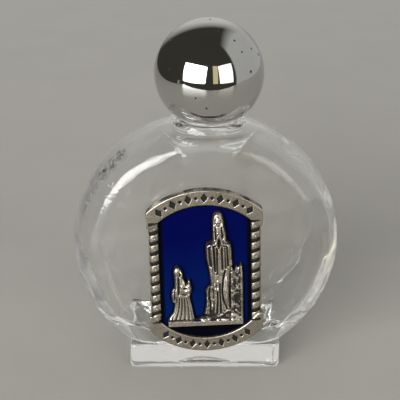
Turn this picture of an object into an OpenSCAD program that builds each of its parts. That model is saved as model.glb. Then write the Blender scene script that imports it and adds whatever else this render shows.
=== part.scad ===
// Flat round glass flask with a ball screw cap and a cast plaque glued to its front face.
// Millimetres. The foot stands on the XY plane, the neck is on the Z axis and the front faces -Y.

/* [Flask body] */
// Radius of the round body, seen from the front
body_r = 27.6; // [25:0.1:32]
// Depth of the body, from its flat front to its flat back
body_depth = 17.6; // [15:0.1:24]
// How far the rounded edge reaches in from the rim
edge_w = 5.3; // [3:0.1:7]
// Height of the body's centre above the table
body_centre_z = 26.1; // [23:0.1:28]
// Glass between the cavity and the rim
rim_wall = 1.2; // [1:0.1:4]
// Glass between the cavity and each flat face
face_wall = 1.4; // [1.2:0.1:3.6]
// Glass between the cavity and the table
base_wall = 7; // [6:0.1:15]
// How far the cavity's rounded edge reaches in
cavity_edge_w = 4.1; // [3:0.1:9]

/* [Foot] */
// Width of the foot
foot_w = 31.4; // [26:0.1:38]
// Depth of the foot
foot_d = 18.4; // [15:0.1:26]
// Height of the foot
foot_h = 5.5; // [3:0.1:7]
// Radius of the foot's upright corners
foot_corner_r = 1.2; // [0.4:0.1:2.5]
// Depth of the arched hollow under the foot, at its middle
recess_h = 0.7; // [0.3:0.1:1.5]
// Width of that hollow
recess_w = 14; // [8:0.5:20]
// Length of that hollow from front to back
recess_d = 11; // [6:0.5:12]

/* [Neck] */
// Radius of the pouring bore
bore_r = 3.6; // [3:0.1:4.5]
// Glass round the bore
neck_wall = 1.9; // [1.5:0.1:2.5]
// Height of the threaded mouth above the collar
finish_h = 8.5; // [7.5:0.1:10]
// How far the collar stands out from the neck
collar_w = 1.8; // [1:0.1:2.4]
// Height of the collar
collar_h = 0.8; // [0.5:0.1:2.5]
// How far the collar's top stands above the body's crown
collar_rise = 0.7; // [0.3:0.1:2]
// How much wider than the mouth the neck is below the collar
neck_step = 1.4; // [0.2:0.1:1.7]
// Radius of the round boss that carries the neck
boss_r = 9.9; // [8:0.1:11]
// How far the boss's top lies below the body's crown
boss_drop = 2.4; // [1.5:0.1:3]
// Height of the boss, down into the body
boss_h = 5; // [4:0.1:7]
// Rounding of the lip, inside and out
lip_round = 0.5; // [0.2:0.05:0.7]

/* [Thread] */
// Rise of the thread in one turn
thread_pitch = 2.8; // [2.4:0.1:3.2]
// How far the thread stands out
thread_h = 0.7; // [0.5:0.05:0.9]
// Thickness of the thread at its root
thread_root_w = 1.2; // [0.9:0.05:1.4]
// Thickness of the thread at its crest
thread_crest_w = 0.55; // [0.4:0.05:0.7]
// Turns of thread on the neck
neck_turns = 1.5; // [1:0.25:1.75]
// Turns of thread in the cap's liner
liner_turns = 1.25; // [1:0.25:1.5]
// Height from the middle of the thread's upper end to the lip
thread_below_lip = 1.8; // [1.4:0.1:2.2]
// Clearance between the liner and the neck's thread, all round
thread_clear = 0.2; // [0.15:0.05:0.4]
// Gap between the flanks that hold the closed cap down
flank_gap = 0.15; // [0.1:0.05:0.3]

/* [Cap] */
// Radius of the ball
ball_r = 11; // [10.4:0.1:14]
// Thickness of the ball's rim round its socket
ball_rim_wall = 0.75; // [0.5:0.05:1.2]
// Thickness of the ball over its hollow crown
ball_top_wall = 1.6; // [1:0.1:3]
// Width of the ledge that the liner's closed end meets
ledge_w = 1.4; // [0.8:0.1:2.5]
// Wall of the liner
liner_wall = 0.7; // [0.5:0.05:1]
// Thickness of the liner's closed end
liner_end = 0.8; // [0.5:0.05:1.2]
// Clearance between the liner and the ball's socket
liner_fit = 0.05; // [0.02:0.01:0.1]
// How far the liner's mouth sits inside the ball's rim
liner_inset = 0.3; // [0.1:0.05:0.5]
// Gap between the ball's rim and the collar
cap_gap = 0.5; // [0.3:0.1:1]
// Thickness of the seal
seal_t = 1; // [0.6:0.1:1.5]
// Clearance between the seal's edge and the liner
seal_clear = 0.2; // [0.1:0.05:0.4]
// Clearance over and under the seal
seal_seat = 0.02; // [0.01:0.01:0.05]

/* [Plaque] */
// Width of the plaque across its banners
plaque_w = 23.4; // [20:0.1:26]
// Height of the plaque
plaque_h = 36.5; // [33:0.1:40]
// Lean of the plaque on the glass in degrees, to the left at its top
plaque_lean = 2.2; // [0:0.1:6]
// How far the plaque's lowest point hangs below the foot's top
plaque_drop = 0.3; // [0:0.1:1]
// How far the plaque sits from the flask's middle, to the left
plaque_shift = 0.35; // [-1:0.05:1]
// Thickness of the adhesive pad
pad_t = 0.5; // [0.1:0.05:0.6]
// How far the pad stays inside the plate's edge
pad_inset = 1; // [0.5:0.1:2]
// Thickness of the back plate
plate_t = 0.6; // [0.4:0.05:1]
// How far the plate's sides stay inside the banners' ends
plate_inset = 0.3; // [0.1:0.05:0.5]
// How far the banners stand up from the plate
banner_t = 1.1; // [0.7:0.05:1.6]
// Radius of the upper banner's outer edge
top_arc_r = 17.2; // [14.5:0.1:20]
// Width of the upper banner
top_banner_w = 3.2; // [2.4:0.1:4.5]
// Width of the upper banner's ends at their foot
top_end_w = 1.05; // [0.6:0.05:2]
// Radius of the lower banner's outer edge
bottom_arc_r = 16.5; // [14.5:0.1:20]
// Width of the lower banner
bottom_banner_w = 3.15; // [2:0.05:3.8]
// Width of the lower banner's ends at their top
bottom_end_w = 1; // [0.3:0.1:1.5]
// Width of each rope column
column_w = 1.8; // [1.2:0.1:2]
// How far the columns stand up from the plate
column_t = 1.05; // [0.8:0.05:1.5]
// How far the columns stay inside the banners' ends
column_inset = 0.6; // [0.3:0.05:1]
// Strands in each rope column
strands = 10; // [6:1:12]
// Width of the groove between two strands
groove_w = 0.35; // [0.2:0.05:0.5]
// Depth of the groove between two strands
groove_h = 0.6; // [0.3:0.05:0.7]
// Slant of the strands in degrees
strand_slant = 18; // [10:1:35]
// Thickness of the enamel in its pocket
enamel_t = 0.35; // [0.2:0.05:0.6]
// Gap between the enamel and the frame round it
enamel_gap = 0.03; // [0.02:0.01:0.1]
// Gap between the cast group and the columns
group_side_gap = 1.4; // [1:0.1:3]
// Gap between the cast group and the lower banner
group_base_gap = 0.3; // [0.1:0.05:0.6]
// Gap between the tall figure's head and the upper banner
group_head_gap = 1.3; // [0.6:0.1:3]

/* [Hidden] */
$fn = 96;

// Step of the rounded profiles in degrees, steps of a plaque arc, and steps of thread in one turn
edge_step = 7.5;
arc_steps = 20;
turn_steps = 32;
// Steps over which a thread runs out at each end, and how deep its root is sunk in its wall
runout_steps = 4;
root_sink = 0.2;

// Heights of the body and neck
crown_z = body_centre_z + body_r;
collar_top_z = crown_z + collar_rise;
lip_z = collar_top_z + finish_h;
neck_r = bore_r + neck_wall;
collar_r = neck_r + collar_w;
collar_low_z = collar_top_z - collar_h;
boss_low_z = crown_z - boss_drop - boss_h;
cavity_r = body_r - rim_wall;
// Radius of the arch of the hollow under the foot
recess_r = (pow(recess_w / 2, 2) + pow(recess_h, 2)) / (2 * recess_h);

// Thread on the neck, and the liner's thread that hooks under it
thread_r = neck_r + thread_h;
liner_in_r = thread_r + thread_clear;
neck_thread_z = lip_z - thread_below_lip - thread_pitch * neck_turns;
flank_sum = thread_root_w - (thread_root_w - thread_crest_w) / 2
    * (thread_h + thread_clear + 2 * root_sink) / (thread_h + root_sink);
liner_thread_z = neck_thread_z - flank_sum - flank_gap;

// Cap, from its rim upwards
liner_out_r = liner_in_r + liner_wall;
socket_r = liner_out_r + liner_fit;
rim_r = socket_r + ball_rim_wall;
rim_z = collar_top_z + cap_gap;
ball_z = rim_z + sqrt(ball_r * ball_r - rim_r * rim_r);
liner_mouth_z = rim_z + liner_inset;
seal_z = lip_z + seal_seat;
liner_end_z = seal_z + seal_t + seal_seat;
socket_top_z = liner_end_z + liner_end + liner_fit;
// The liner's thread starts just inside its mouth
liner_thread_low_z = liner_mouth_z + (thread_root_w + root_sink) / 2;
liner_thread_start = 360 * (liner_thread_low_z - liner_thread_z) / thread_pitch;

// Plaque layers, counted outwards from the glass
plate_top = pad_t + plate_t;
enamel_top = plate_top + enamel_t;
// The plaque hangs over the foot's edge only where its plate clears the foot's front
plaque_z = foot_d / 2 < body_depth / 2 + pad_t ? foot_h - plaque_drop : foot_h + pad_t;
// Centres and inner radii of the plaque's arcs, measured up from its lowest point
top_arc_v = plaque_h - top_arc_r;
bottom_arc_v = bottom_arc_r;
pocket_top_r = top_arc_r - top_banner_w;
pocket_bottom_r = bottom_arc_r - bottom_banner_w;
column_u = plaque_w / 2 - column_inset - column_w / 2;
pocket_half_w = column_u - column_w / 2;

// The cast group is drawn in units, so many across and up, and scaled to fill its pocket
units_across = 16.2;
units_up = 26.3;
tall_figure_u = 2.6;
kneeling_figure_u = -5;
group_half_w = pocket_half_w - group_side_gap;
group_base_v = bottom_arc_v - sqrt(pow(pocket_bottom_r, 2) - pow(group_half_w, 2)) + group_base_gap;
group_head_u = tall_figure_u * 2 * group_half_w / units_across;
group_head_v = top_arc_v + sqrt(pow(pocket_top_r, 2) - pow(group_head_u, 2)) - group_head_gap;
group_unit = min(2 * group_half_w / units_across, (group_head_v - group_base_v) / units_up);

// Points along an arc, from one angle to another
function arc(centre, r, from, to) =
    [for (i = [0 : arc_steps]) centre + r * [cos(from + (to - from) * i / arc_steps),
                                             sin(from + (to - from) * i / arc_steps)]];

// Half section of a flat disc with a half-oval edge
function disc_section(r, half, edge) = concat(
    [[0, -half]],
    [for (t = [-90 : edge_step : 90]) [r - edge + edge * cos(t), half * sin(t)]],
    [[0, half]]);

// How much of a thread's height stands at one of its steps
function runout(i, steps) = min(1, (i + 0.25) / runout_steps, (steps - i + 0.25) / runout_steps);

// Four corners of a thread's section, at an angle and height on its helix
function thread_ring(a, z, inner_r, inner_w, outer_r, outer_w) = [
    for (p = [[inner_r, -inner_w], [outer_r, -outer_w], [outer_r, outer_w], [inner_r, inner_w]])
        [p[0] * cos(a), p[0] * sin(a), z + p[1] / 2]];

// Triangles of a swept tube with four-cornered rings
function tube_faces(last) = concat(
    [[0, 3, 2], [0, 2, 1]],
    [for (i = [0 : last - 1], j = [0 : 3]) [4 * i + j, 4 * i + (j + 1) % 4, 4 * i + 4 + (j + 1) % 4]],
    [for (i = [0 : last - 1], j = [0 : 3]) [4 * i + j, 4 * i + 4 + (j + 1) % 4, 4 * i + 4 + j]],
    [[4 * last, 4 * last + 1, 4 * last + 2], [4 * last, 4 * last + 2, 4 * last + 3]]);

// Thread that stands out from a neck
module outer_thread(z0, start, turns) {
    steps = round(turns * turn_steps);
    rings = [for (i = [0 : steps]) each thread_ring(
        start + 360 * i / turn_steps, z0 + thread_pitch * (start / 360 + i / turn_steps),
        neck_r - root_sink, thread_root_w, neck_r + thread_h * runout(i, steps), thread_crest_w)];
    polyhedron(rings, tube_faces(steps));
}

// Thread that stands in from a liner
module inner_thread(z0, start, turns) {
    steps = round(turns * turn_steps);
    rings = [for (i = [0 : steps]) each thread_ring(
        start + 360 * i / turn_steps, z0 + thread_pitch * (start / 360 + i / turn_steps),
        liner_in_r - thread_h * runout(i, steps), thread_crest_w, liner_in_r + root_sink, thread_root_w)];
    polyhedron(rings, tube_faces(steps));
}

// Upright disc with its axis along Y
module upright_disc(r, half, edge) {
    translate([0, 0, body_centre_z]) rotate([90, 0, 0]) rotate_extrude() polygon(disc_section(r, half, edge));
}

// Rectangle with round corners, centred
module round_rect(w, d, r) {
    square([w, d - 2 * r], center = true);
    square([w - 2 * r, d], center = true);
    for (x = [-1, 1], y = [-1, 1]) translate([x * (w / 2 - r), y * (d / 2 - r)]) circle(r);
}

// Neck with its collar and mouth, on a round boss that is cut flat at the body's faces
module neck() {
    intersection() {
        translate([0, 0, boss_low_z]) cylinder(h = boss_h, r = boss_r);
        translate([-body_r, -body_depth / 2, 0]) cube([2 * body_r, body_depth, lip_z]);
    }
    rotate_extrude() polygon([
        [0, boss_low_z], [neck_r + neck_step, boss_low_z], [neck_r + neck_step, collar_low_z],
        [neck_r, collar_low_z], [neck_r, lip_z - lip_round], [neck_r - lip_round, lip_z], [0, lip_z]]);
    translate([0, 0, collar_low_z]) cylinder(h = collar_h, r = collar_r);
}

// Space for the water: the flat cavity, with a level floor, and the bore up through the lip.
// The bore is turned so that its seam stays off the cavity's middle plane.
module water_space() {
    intersection() {
        upright_disc(cavity_r, body_depth / 2 - face_wall, cavity_edge_w);
        translate([-body_r, -body_depth / 2, base_wall]) cube([2 * body_r, body_depth, crown_z]);
    }
    rotate(45) rotate_extrude() polygon([
        [0, body_centre_z], [bore_r, body_centre_z], [bore_r, lip_z - lip_round],
        [bore_r + 2 * lip_round, lip_z + lip_round], [0, lip_z + lip_round]]);
}

module glass_flask() {
    color("lightcyan", 0.5) difference() {
        union() {
            intersection() {
                upright_disc(body_r, body_depth / 2, edge_w);
                translate([-body_r, -body_depth / 2, 0]) cube([2 * body_r, body_depth, crown_z]);
            }
            linear_extrude(foot_h) round_rect(foot_w, foot_d, foot_corner_r);
            neck();
            outer_thread(neck_thread_z, 0, neck_turns);
        }
        water_space();
        translate([0, 0, recess_h - recess_r]) rotate([90, 0, 0])
            cylinder(h = recess_d, r = recess_r, center = true);
    }
}

// Chromed ball, cut flat at its rim, with a stepped socket and a hollow crown
module cap_shell() {
    color("silver") difference() {
        translate([0, 0, ball_z]) sphere(ball_r);
        translate([0, 0, rim_z - ball_r]) cylinder(h = ball_r, r = ball_r);
        translate([0, 0, rim_z - ball_r]) cylinder(h = socket_top_z - rim_z + ball_r, r = socket_r);
        intersection() {
            translate([0, 0, ball_z]) sphere(ball_r - ball_top_wall);
            translate([0, 0, ball_z]) cylinder(h = ball_r, r = socket_r - ledge_w);
        }
    }
}

// Threaded liner, a cup pressed into the ball's socket
module cap_insert() {
    color("whitesmoke") {
        difference() {
            translate([0, 0, liner_mouth_z])
                cylinder(h = liner_end_z + liner_end - liner_mouth_z, r = liner_out_r);
            translate([0, 0, liner_mouth_z - liner_inset])
                cylinder(h = liner_end_z - liner_mouth_z + liner_inset, r = liner_in_r);
        }
        inner_thread(liner_thread_z, liner_thread_start, liner_turns);
    }
}

// Wad that closes on the lip
module cap_seal() {
    color("gainsboro") translate([0, 0, seal_z]) cylinder(h = seal_t, r = liner_in_r - seal_clear);
}

// Places what is drawn flat, with its lowest point at the origin, on the flask's front face
module on_front_face() {
    translate([-plaque_shift, -body_depth / 2, plaque_z]) rotate([90, 0, 0])
        translate([0, plaque_h / 2, 0]) rotate(plaque_lean) translate([0, -plaque_h / 2, 0]) children();
}

// Flat panel with straight sides and an arc at its top and bottom
module arched_panel(half_w, top_r, bottom_r) {
    top_a = acos(half_w / top_r);
    bottom_a = acos(half_w / bottom_r);
    polygon(concat(
        arc([0, top_arc_v], top_r, top_a, 180 - top_a),
        arc([0, bottom_arc_v], bottom_r, 180 + bottom_a, 360 - bottom_a)));
}

// Curved banner at the top of the frame
module top_banner() {
    outer_a = acos(plaque_w / 2 / top_arc_r);
    inner_a = acos((plaque_w / 2 - top_end_w) / pocket_top_r);
    end_v = top_arc_v + pocket_top_r * sin(inner_a);
    polygon(concat(
        arc([0, top_arc_v], top_arc_r, outer_a, 180 - outer_a), [[-plaque_w / 2, end_v]],
        arc([0, top_arc_v], pocket_top_r, 180 - inner_a, inner_a), [[plaque_w / 2, end_v]]));
}

// Curved banner at the bottom of the frame
module bottom_banner() {
    outer_a = acos(plaque_w / 2 / bottom_arc_r);
    inner_a = acos((plaque_w / 2 - bottom_end_w) / pocket_bottom_r);
    end_v = bottom_arc_v - pocket_bottom_r * sin(inner_a);
    polygon(concat(
        arc([0, bottom_arc_v], bottom_arc_r, 180 + outer_a, 360 - outer_a), [[plaque_w / 2, end_v]],
        arc([0, bottom_arc_v], pocket_bottom_r, 360 - inner_a, 180 + inner_a), [[-plaque_w / 2, end_v]]));
}

// Half-round column with slanting grooves between its strands
module rope_column() {
    low_v = bottom_arc_v - sqrt(pow(pocket_bottom_r, 2) - pow(pocket_half_w, 2));
    high_v = top_arc_v + sqrt(pow(pocket_top_r, 2) - pow(pocket_half_w, 2));
    step = (high_v - low_v) / strands;
    difference() {
        intersection() {
            translate([0, low_v, plate_top + column_t - column_w / 2])
                rotate([-90, 0, 0]) cylinder(h = high_v - low_v, d = column_w);
            translate([-column_w, 0, plate_top - plate_t / 2])
                cube([2 * column_w, plaque_h, column_w + column_t]);
        }
        for (i = [1 : strands - 1])
            translate([0, low_v + i * step, plate_top + column_t - groove_h])
                rotate(strand_slant)
                    translate([-column_w, -groove_w / 2, 0]) cube([2 * column_w, groove_w, column_w]);
    }
}

// Soft pad between the plaque and the glass
module plaque_adhesive() {
    color("khaki") on_front_face() linear_extrude(pad_t)
        arched_panel(plaque_w / 2 - plate_inset - pad_inset, top_arc_r - pad_inset, bottom_arc_r - pad_inset);
}

// Back plate, banners and rope columns, cast in one
module plaque_frame() {
    color("darkgray") on_front_face() {
        translate([0, 0, pad_t]) linear_extrude(plate_t)
            arched_panel(plaque_w / 2 - plate_inset, top_arc_r, bottom_arc_r);
        translate([0, 0, pad_t]) linear_extrude(plate_t + banner_t) top_banner();
        translate([0, 0, pad_t]) linear_extrude(plate_t + banner_t) bottom_banner();
        for (side = [-1, 1]) translate([side * column_u, 0, 0]) rope_column();
    }
}

// Blue field inside the frame
module plaque_enamel() {
    color("navy") on_front_face() translate([0, 0, plate_top]) linear_extrude(enamel_t)
        arched_panel(pocket_half_w - enamel_gap, pocket_top_r - enamel_gap, pocket_bottom_r - enamel_gap);
}

// Turned form lying in the group's plane, with its axis sunk below it. Profile points are [radius, height].
module lying_turned(u, sink, profile) {
    translate([u, 0, -sink]) rotate([-90, 0, 0]) rotate_extrude() polygon(profile);
}

// Standing figure in a long veil, hands joined
module tall_figure() {
    lying_turned(tall_figure_u, 0.8, [
        [0, 2], [2.2, 2], [2.1, 6], [2.2, 10], [2.5, 14], [2.7, 18.7], [2.1, 20.4], [1.5, 22.6], [0, 22.6]]);
    lying_turned(tall_figure_u, 0.2, [
        [0, 22], [1.3, 22], [1.2, 23.2], [1.35, 24.6], [1.1, 25.6], [0.6, 26.1], [0, 26.3]]);
    lying_turned(tall_figure_u, -0.9, [[0, 18.2], [0.8, 18.4], [0.6, 19.6], [0.2, 21], [0, 21]]);
}

// Kneeling figure with a veil and a wide skirt, holding a taper
module kneeling_figure() {
    lying_turned(kneeling_figure_u, 0.9, [
        [0, 1], [2.5, 1], [2.2, 2.6], [1.7, 5.5], [1.55, 8.5], [1.6, 10.2], [1.2, 11.4], [0, 11.4]]);
    lying_turned(kneeling_figure_u - 0.4, 0.1, [
        [0, 10.8], [0.9, 10.8], [1, 12], [0.95, 12.8], [0.5, 13.4], [0, 13.5]]);
    lying_turned(kneeling_figure_u + 1.8, 0, [
        [0, 5.6], [0.6, 5.8], [0.7, 8], [0.9, 9.6], [0.4, 10], [0, 10]]);
}

// Ground under the figures, and the rocks beside the tall one. Each stands out by its own height.
module ground() {
    linear_extrude(1.5) polygon([[-8.1, 0], [7.9, 0], [7.9, 1.5], [-8.1, 1.5]]);
    linear_extrude(1.2) polygon([
        [4, 1], [7.7, 1], [7.7, 13.6], [7.1, 14.2], [6.2, 12.8], [5.3, 13.4], [4, 11.6]]);
    linear_extrude(1) polygon([[-0.6, 1], [2, 1], [2, 8.2], [0.9, 8.2], [0.2, 6.8], [0.1, 4.2]]);
    linear_extrude(1.3) polygon([[-1.8, 1], [6, 1], [5.6, 2.6], [3.8, 3.4], [1.2, 2.4], [-0.8, 1.9]]);
}

// Cast group of the two figures on their ground, cut flat at the enamel
module plaque_relief() {
    color("lightgray") on_front_face() translate([0, group_base_v, enamel_top]) scale(group_unit)
        intersection() {
            union() {
                ground();
                tall_figure();
                kneeling_figure();
            }
            translate([-units_across / 2, 0, 0]) cube([units_across, units_up, units_across]);
        }
}

glass_flask();
cap_shell();
cap_insert();
cap_seal();
plaque_adhesive();
plaque_frame();
plaque_enamel();
plaque_relief();
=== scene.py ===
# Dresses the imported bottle: a clear glass flask, a chromed ball cap and an antiqued plaque on a pale table.
# Shapes are worked out in millimetres in the part's own frame and turned into metres at the end.
import math

import bpy
import numpy as np
from mathutils import Matrix, Vector


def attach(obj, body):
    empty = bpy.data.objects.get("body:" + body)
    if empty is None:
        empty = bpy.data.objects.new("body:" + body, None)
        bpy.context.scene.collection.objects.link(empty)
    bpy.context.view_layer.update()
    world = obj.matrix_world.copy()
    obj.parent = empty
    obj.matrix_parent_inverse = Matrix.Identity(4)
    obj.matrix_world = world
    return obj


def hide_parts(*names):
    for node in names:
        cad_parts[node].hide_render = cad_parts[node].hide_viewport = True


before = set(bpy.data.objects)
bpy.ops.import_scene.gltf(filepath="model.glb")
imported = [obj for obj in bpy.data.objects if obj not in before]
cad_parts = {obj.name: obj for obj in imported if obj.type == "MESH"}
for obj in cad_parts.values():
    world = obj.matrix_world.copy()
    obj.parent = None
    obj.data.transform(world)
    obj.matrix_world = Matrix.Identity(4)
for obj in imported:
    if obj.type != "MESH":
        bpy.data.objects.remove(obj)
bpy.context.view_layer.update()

MM = 0.001

# Glass flask, the same sizes as its solid
BODY_R = 27.6
BODY_HALF = 8.8
EDGE_W = 5.3
BODY_Z = 26.1
CAVITY_R = 26.4
CAVITY_HALF = 7.4
CAVITY_EDGE_W = 4.1
FLOOR_Z = 7.0
FOOT_HALF_W = 15.7
FOOT_HALF_D = 9.2
FOOT_H = 5.5
FOOT_CORNER_R = 1.2
RECESS_H = 0.7
RECESS_HALF_W = 7.0
RECESS_HALF_D = 5.5
NECK_R = 5.5
BORE_R = 3.6
NECK_LOW_R = 6.9
BOSS_R = 9.9
BOSS_TOP_Z = 51.3
COLLAR_R = 7.3
COLLAR_LOW_Z = 53.6
COLLAR_TOP_Z = 54.4
LIP_Z = 62.9

# Rounded edges of the flask, and the fillets between its parts
FOOT_EDGE_R = 0.4
SOLE_EDGE_R = 0.3
FOOT_FILLET = 0.4
BOSS_EDGE_R = 0.9
BOSS_SIDE_R = 1.2
BOSS_FILLET = 0.4
NECK_FILLET = 1.3
COLLAR_EDGE_R = 0.3
COLLAR_FILLET = 0.5
THREAD_FILLET = 0.25
LIP_EDGE_R = 0.9
MOUTH_EDGE_R = 0.7
FLOOR_FILLET = 4.5
SHOULDER_FILLET = 3.5
RECESS_EDGE_R = 0.2

# Unevenness of the moulded glass: waves, faces that fall away, a groove round the boss, and a wall that is
# thicker low at the sides. An effect sets in at FROM, is whole at FULL, and fades out from LAST to END.
WAVE_H = 0.035
SLUMP = 0.38
SLUMP_FROM_R = 17.2
SLUMP_FULL_R = 25.2
SLUMP_LAST_R = 25.0
SLUMP_END_R = 27.3
GROOVE_DEPTH = 0.16
GROOVE_W = 0.3
GROOVE_FROM_Z = 47.7
GROOVE_FULL_Z = 48.6
GROOVE_LAST_Z = 50.8
GROOVE_END_Z = 51.6
SETTLED_T = 1.1
SETTLED_FROM_Z = 29.0
SETTLED_FULL_Z = 17.0
SETTLED_FROM_R = 20.0
SETTLED_FULL_R = 25.5

# Thread on the neck, and the one in the cap's liner that hooks under it
PITCH = 2.8
THREAD_H = 0.7
ROOT_HALF = 0.6
CREST_HALF = 0.275
NECK_THREAD_Z = 56.9
NECK_TURNS = 1.5
LINER_THREAD_Z = 56.02
LINER_TURNS = 1.25

# Ball cap, liner and seal
BALL_R = 11.0
BALL_Z = 62.55
RIM_R = 7.9
RIM_Z = 54.9
SOCKET_R = 7.15
SOCKET_TOP_Z = 64.79
LEDGE_R = 5.75
HOLLOW_R = 9.4
LINER_R = 7.1
LINER_IN_R = 6.4
LINER_LOW_Z = 55.2
LINER_END_Z = 63.94
LINER_TOP_Z = 64.74
SEAL_R = 6.2
SEAL_LOW_Z = 62.92
SEAL_TOP_Z = 63.92
SEAL_EDGE_R = 0.15
SEAL_DENT = 0.05
LINER_EDGE_R = 0.25
BALL_CORNERS = (0.22, 0.2, 0.2, 0.3)

# Plaque. Its own axes are u to the right, v up from its lowest point and w out from the glass.
PLAQUE_HALF_W = 11.7
PLAQUE_H = 36.5
PLAQUE_LEAN = math.radians(2.2)
PLAQUE_X = -0.35
PLAQUE_Z = 5.2
PAD_T = 0.5
PLATE_TOP = 1.1
ENAMEL_TOP = 1.45
BANNER_TOP = 2.2
TOP_ARC_R = 17.2
TOP_ARC_V = PLAQUE_H - TOP_ARC_R
TOP_POCKET_R = 14.0
TOP_END_V = TOP_ARC_V + math.sqrt(TOP_POCKET_R ** 2 - (PLAQUE_HALF_W - 1.05) ** 2)
LOW_ARC_R = 16.5
LOW_ARC_V = LOW_ARC_R
LOW_POCKET_R = 13.35
LOW_END_V = LOW_ARC_V - math.sqrt(LOW_POCKET_R ** 2 - (PLAQUE_HALF_W - 1.0) ** 2)
COLUMN_R = 0.9
COLUMN_U = PLAQUE_HALF_W - 0.6 - COLUMN_R
COLUMN_AXIS_W = 1.25
POCKET_HALF_W = COLUMN_U - COLUMN_R
COLUMN_LOW_V = LOW_ARC_V - math.sqrt(LOW_POCKET_R ** 2 - POCKET_HALF_W ** 2)
COLUMN_HIGH_V = TOP_ARC_V + math.sqrt(TOP_POCKET_R ** 2 - POCKET_HALF_W ** 2)
STRANDS = 10
STRAND_SLANT = math.radians(18)
STRAND_GAP = 0.6
STRAND_CROWN = 0.14
COLUMN_CROWN = 0.2
DIMPLE_DEPTH = 0.07
MOTIFS_A_SIDE = 6
MOTIF_DEPTH = 0.3
BANNER_ARC_R = 0.2
BANNER_CORNER_R = 0.4
BANNER_EDGE_R = 0.18
PLATE_INSET = 0.3
PLATE_EDGE_R = 0.15
ENAMEL_GAP = 0.03
ENAMEL_RISE = 0.07
PAD_INSET = 1.3
PAD_ARC_INSET = 1

# Spots on the ball and the glass: their middles, and how far from them they reach
PITS = ((6, -6.7, 69), (0, -0.5, 73.5), (-2.9, -10.4, 60.8), (-0.8, -10.3, 58.7), (4.5, -5.6, 70.9),
        (7.9, -4.3, 68.9))
PIT_REACH = 0.333
SCUFFS = ((-21.2, -4.2, 42.7), (-19.5, -4.1, 44.7), (-17.8, -3.8, 46.5))
SCUFF_REACH = 2.083
RIPPLES = ((-20.3, -8.6, 37.5), (17.2, -8.3, 42))
RIPPLE_REACH = 7.692
# Painted glow on the glass, low on the right, where the rim gathers light
PAINTED_GLOWS = ((25.5, 0, 19.5),)
PAINTED_GLOW_REACH = 7.692

# Cast group, drawn in units with x to the right, t up from its base line and heights out from the enamel
GROUP_V = 6.04
GROUP_UNIT = 0.9753
MAP_STEP = 0.05
MAP_X = np.arange(-8.8, 8.6, MAP_STEP)
MAP_T = np.arange(-0.6, 27.2, MAP_STEP)
SUNK = -0.3
GROUP_TOP = 1.78

# Windows in front of the bottle, all at one height, in degrees, metres and watts. A row is a name, an
# azimuth, a width, a power and a colour.
WINDOW_ELEVATION = 13.3
WINDOW_DISTANCE = 2.5
WINDOW_H = 1.62
WINDOWS = (
    ("left_window", -33, 2.2, 95, (1.0, 0.99, 0.97)),
    ("right_window", 34, 1.31, 14, (1.0, 0.97, 0.88)),
    ("right_curtain", 11, 0.44, 1.5, (1.0, 0.9, 0.55)))


# Distance fields. A field is negative inside its solid, and its size is about the distance to the surface.
def soft_min(a, b, k):
    """The nearer of two surfaces, with a fillet about k wide where they meet."""
    share = np.clip(0.5 + 0.5 * (b - a) / k, 0, 1)
    return b + (a - b) * share - k * share * (1 - share)


def soft_max(a, b, k):
    """What two solids share, with an edge rounded by about k."""
    return -soft_min(-a, -b, k)


def ease(start, end, value):
    """0 up to start, 1 from end on, and smooth between. It runs downwards where end is the smaller one."""
    t = np.clip((value - start) / (end - start), 0, 1)
    return t * t * (3 - 2 * t)


def slab(flat, height, low, high, round_r):
    """A flat shape made thick between two heights, with rounded edges."""
    across = flat + round_r
    along = np.abs(height - (low + high) / 2) - (high - low) / 2 + round_r
    outside = np.hypot(np.maximum(across, 0), np.maximum(along, 0))
    return outside + np.minimum(np.maximum(across, along), 0) - round_r


def round_rect(x, y, half_w, half_d, corner_r):
    """Flat rectangle with round corners."""
    across = np.abs(x) - half_w + corner_r
    along = np.abs(y) - half_d + corner_r
    outside = np.hypot(np.maximum(across, 0), np.maximum(along, 0))
    return outside + np.minimum(np.maximum(across, along), 0) - corner_r


def oval_disc(r, y, radius, half, edge):
    """Flat disc with a half-oval edge."""
    reach = np.maximum(r - (radius - edge), 0) / edge
    across = np.maximum(np.abs(y) / half, 0.001)
    inner = np.hypot(reach, across)
    slope = np.hypot(reach / edge, across / half)
    return inner * (inner - 1) / slope


def flat_polygon(x, y, corners):
    """Flat shape with straight sides."""
    nearest = np.full(np.shape(x), 1e9)
    inside = np.zeros(np.shape(x), bool)
    for (ax, ay), (bx, by) in zip(corners, corners[1:] + corners[:1]):
        side_x = bx - ax
        side_y = by - ay
        along = ((x - ax) * side_x + (y - ay) * side_y) / (side_x ** 2 + side_y ** 2)
        along = np.clip(along, 0, 1)
        nearest = np.minimum(nearest, np.hypot(x - ax - along * side_x, y - ay - along * side_y))
        if ay != by:
            crosses = (ay > y) != (by > y)
            inside ^= crosses & (x < ax + side_x * (y - ay) / side_y)
    return np.where(inside, -nearest, nearest)


def helix_ridge(x, y, z, low_z, first, turns, wall_r, outward):
    """Thread on a wall. First is the turn that it starts at, counted from +X, and outward is 1 or -1."""
    r = np.hypot(x, y)
    turn = np.arctan2(y, x) / (2 * math.pi)
    rise = np.maximum((r - wall_r) * outward, 0) / THREAD_H
    half = ROOT_HALF + (CREST_HALF - ROOT_HALF) * np.minimum(rise, 1)
    found = np.full(np.shape(x), 9.0)
    for whole in range(int(math.floor(first)) - 1, int(math.ceil(first + turns)) + 2):
        at = turn + whole
        runs = ease(first - 0.02, first + 0.12, at) * ease(-first - turns - 0.02, 0.12 - first - turns, -at)
        beside = np.abs(z - low_z - PITCH * at) - half
        above = (r - wall_r) * outward - THREAD_H * runs
        ridge = np.where(runs > 0.01, soft_max(beside, above, 0.2), 9.0)
        found = np.minimum(found, ridge)
    return found


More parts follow.
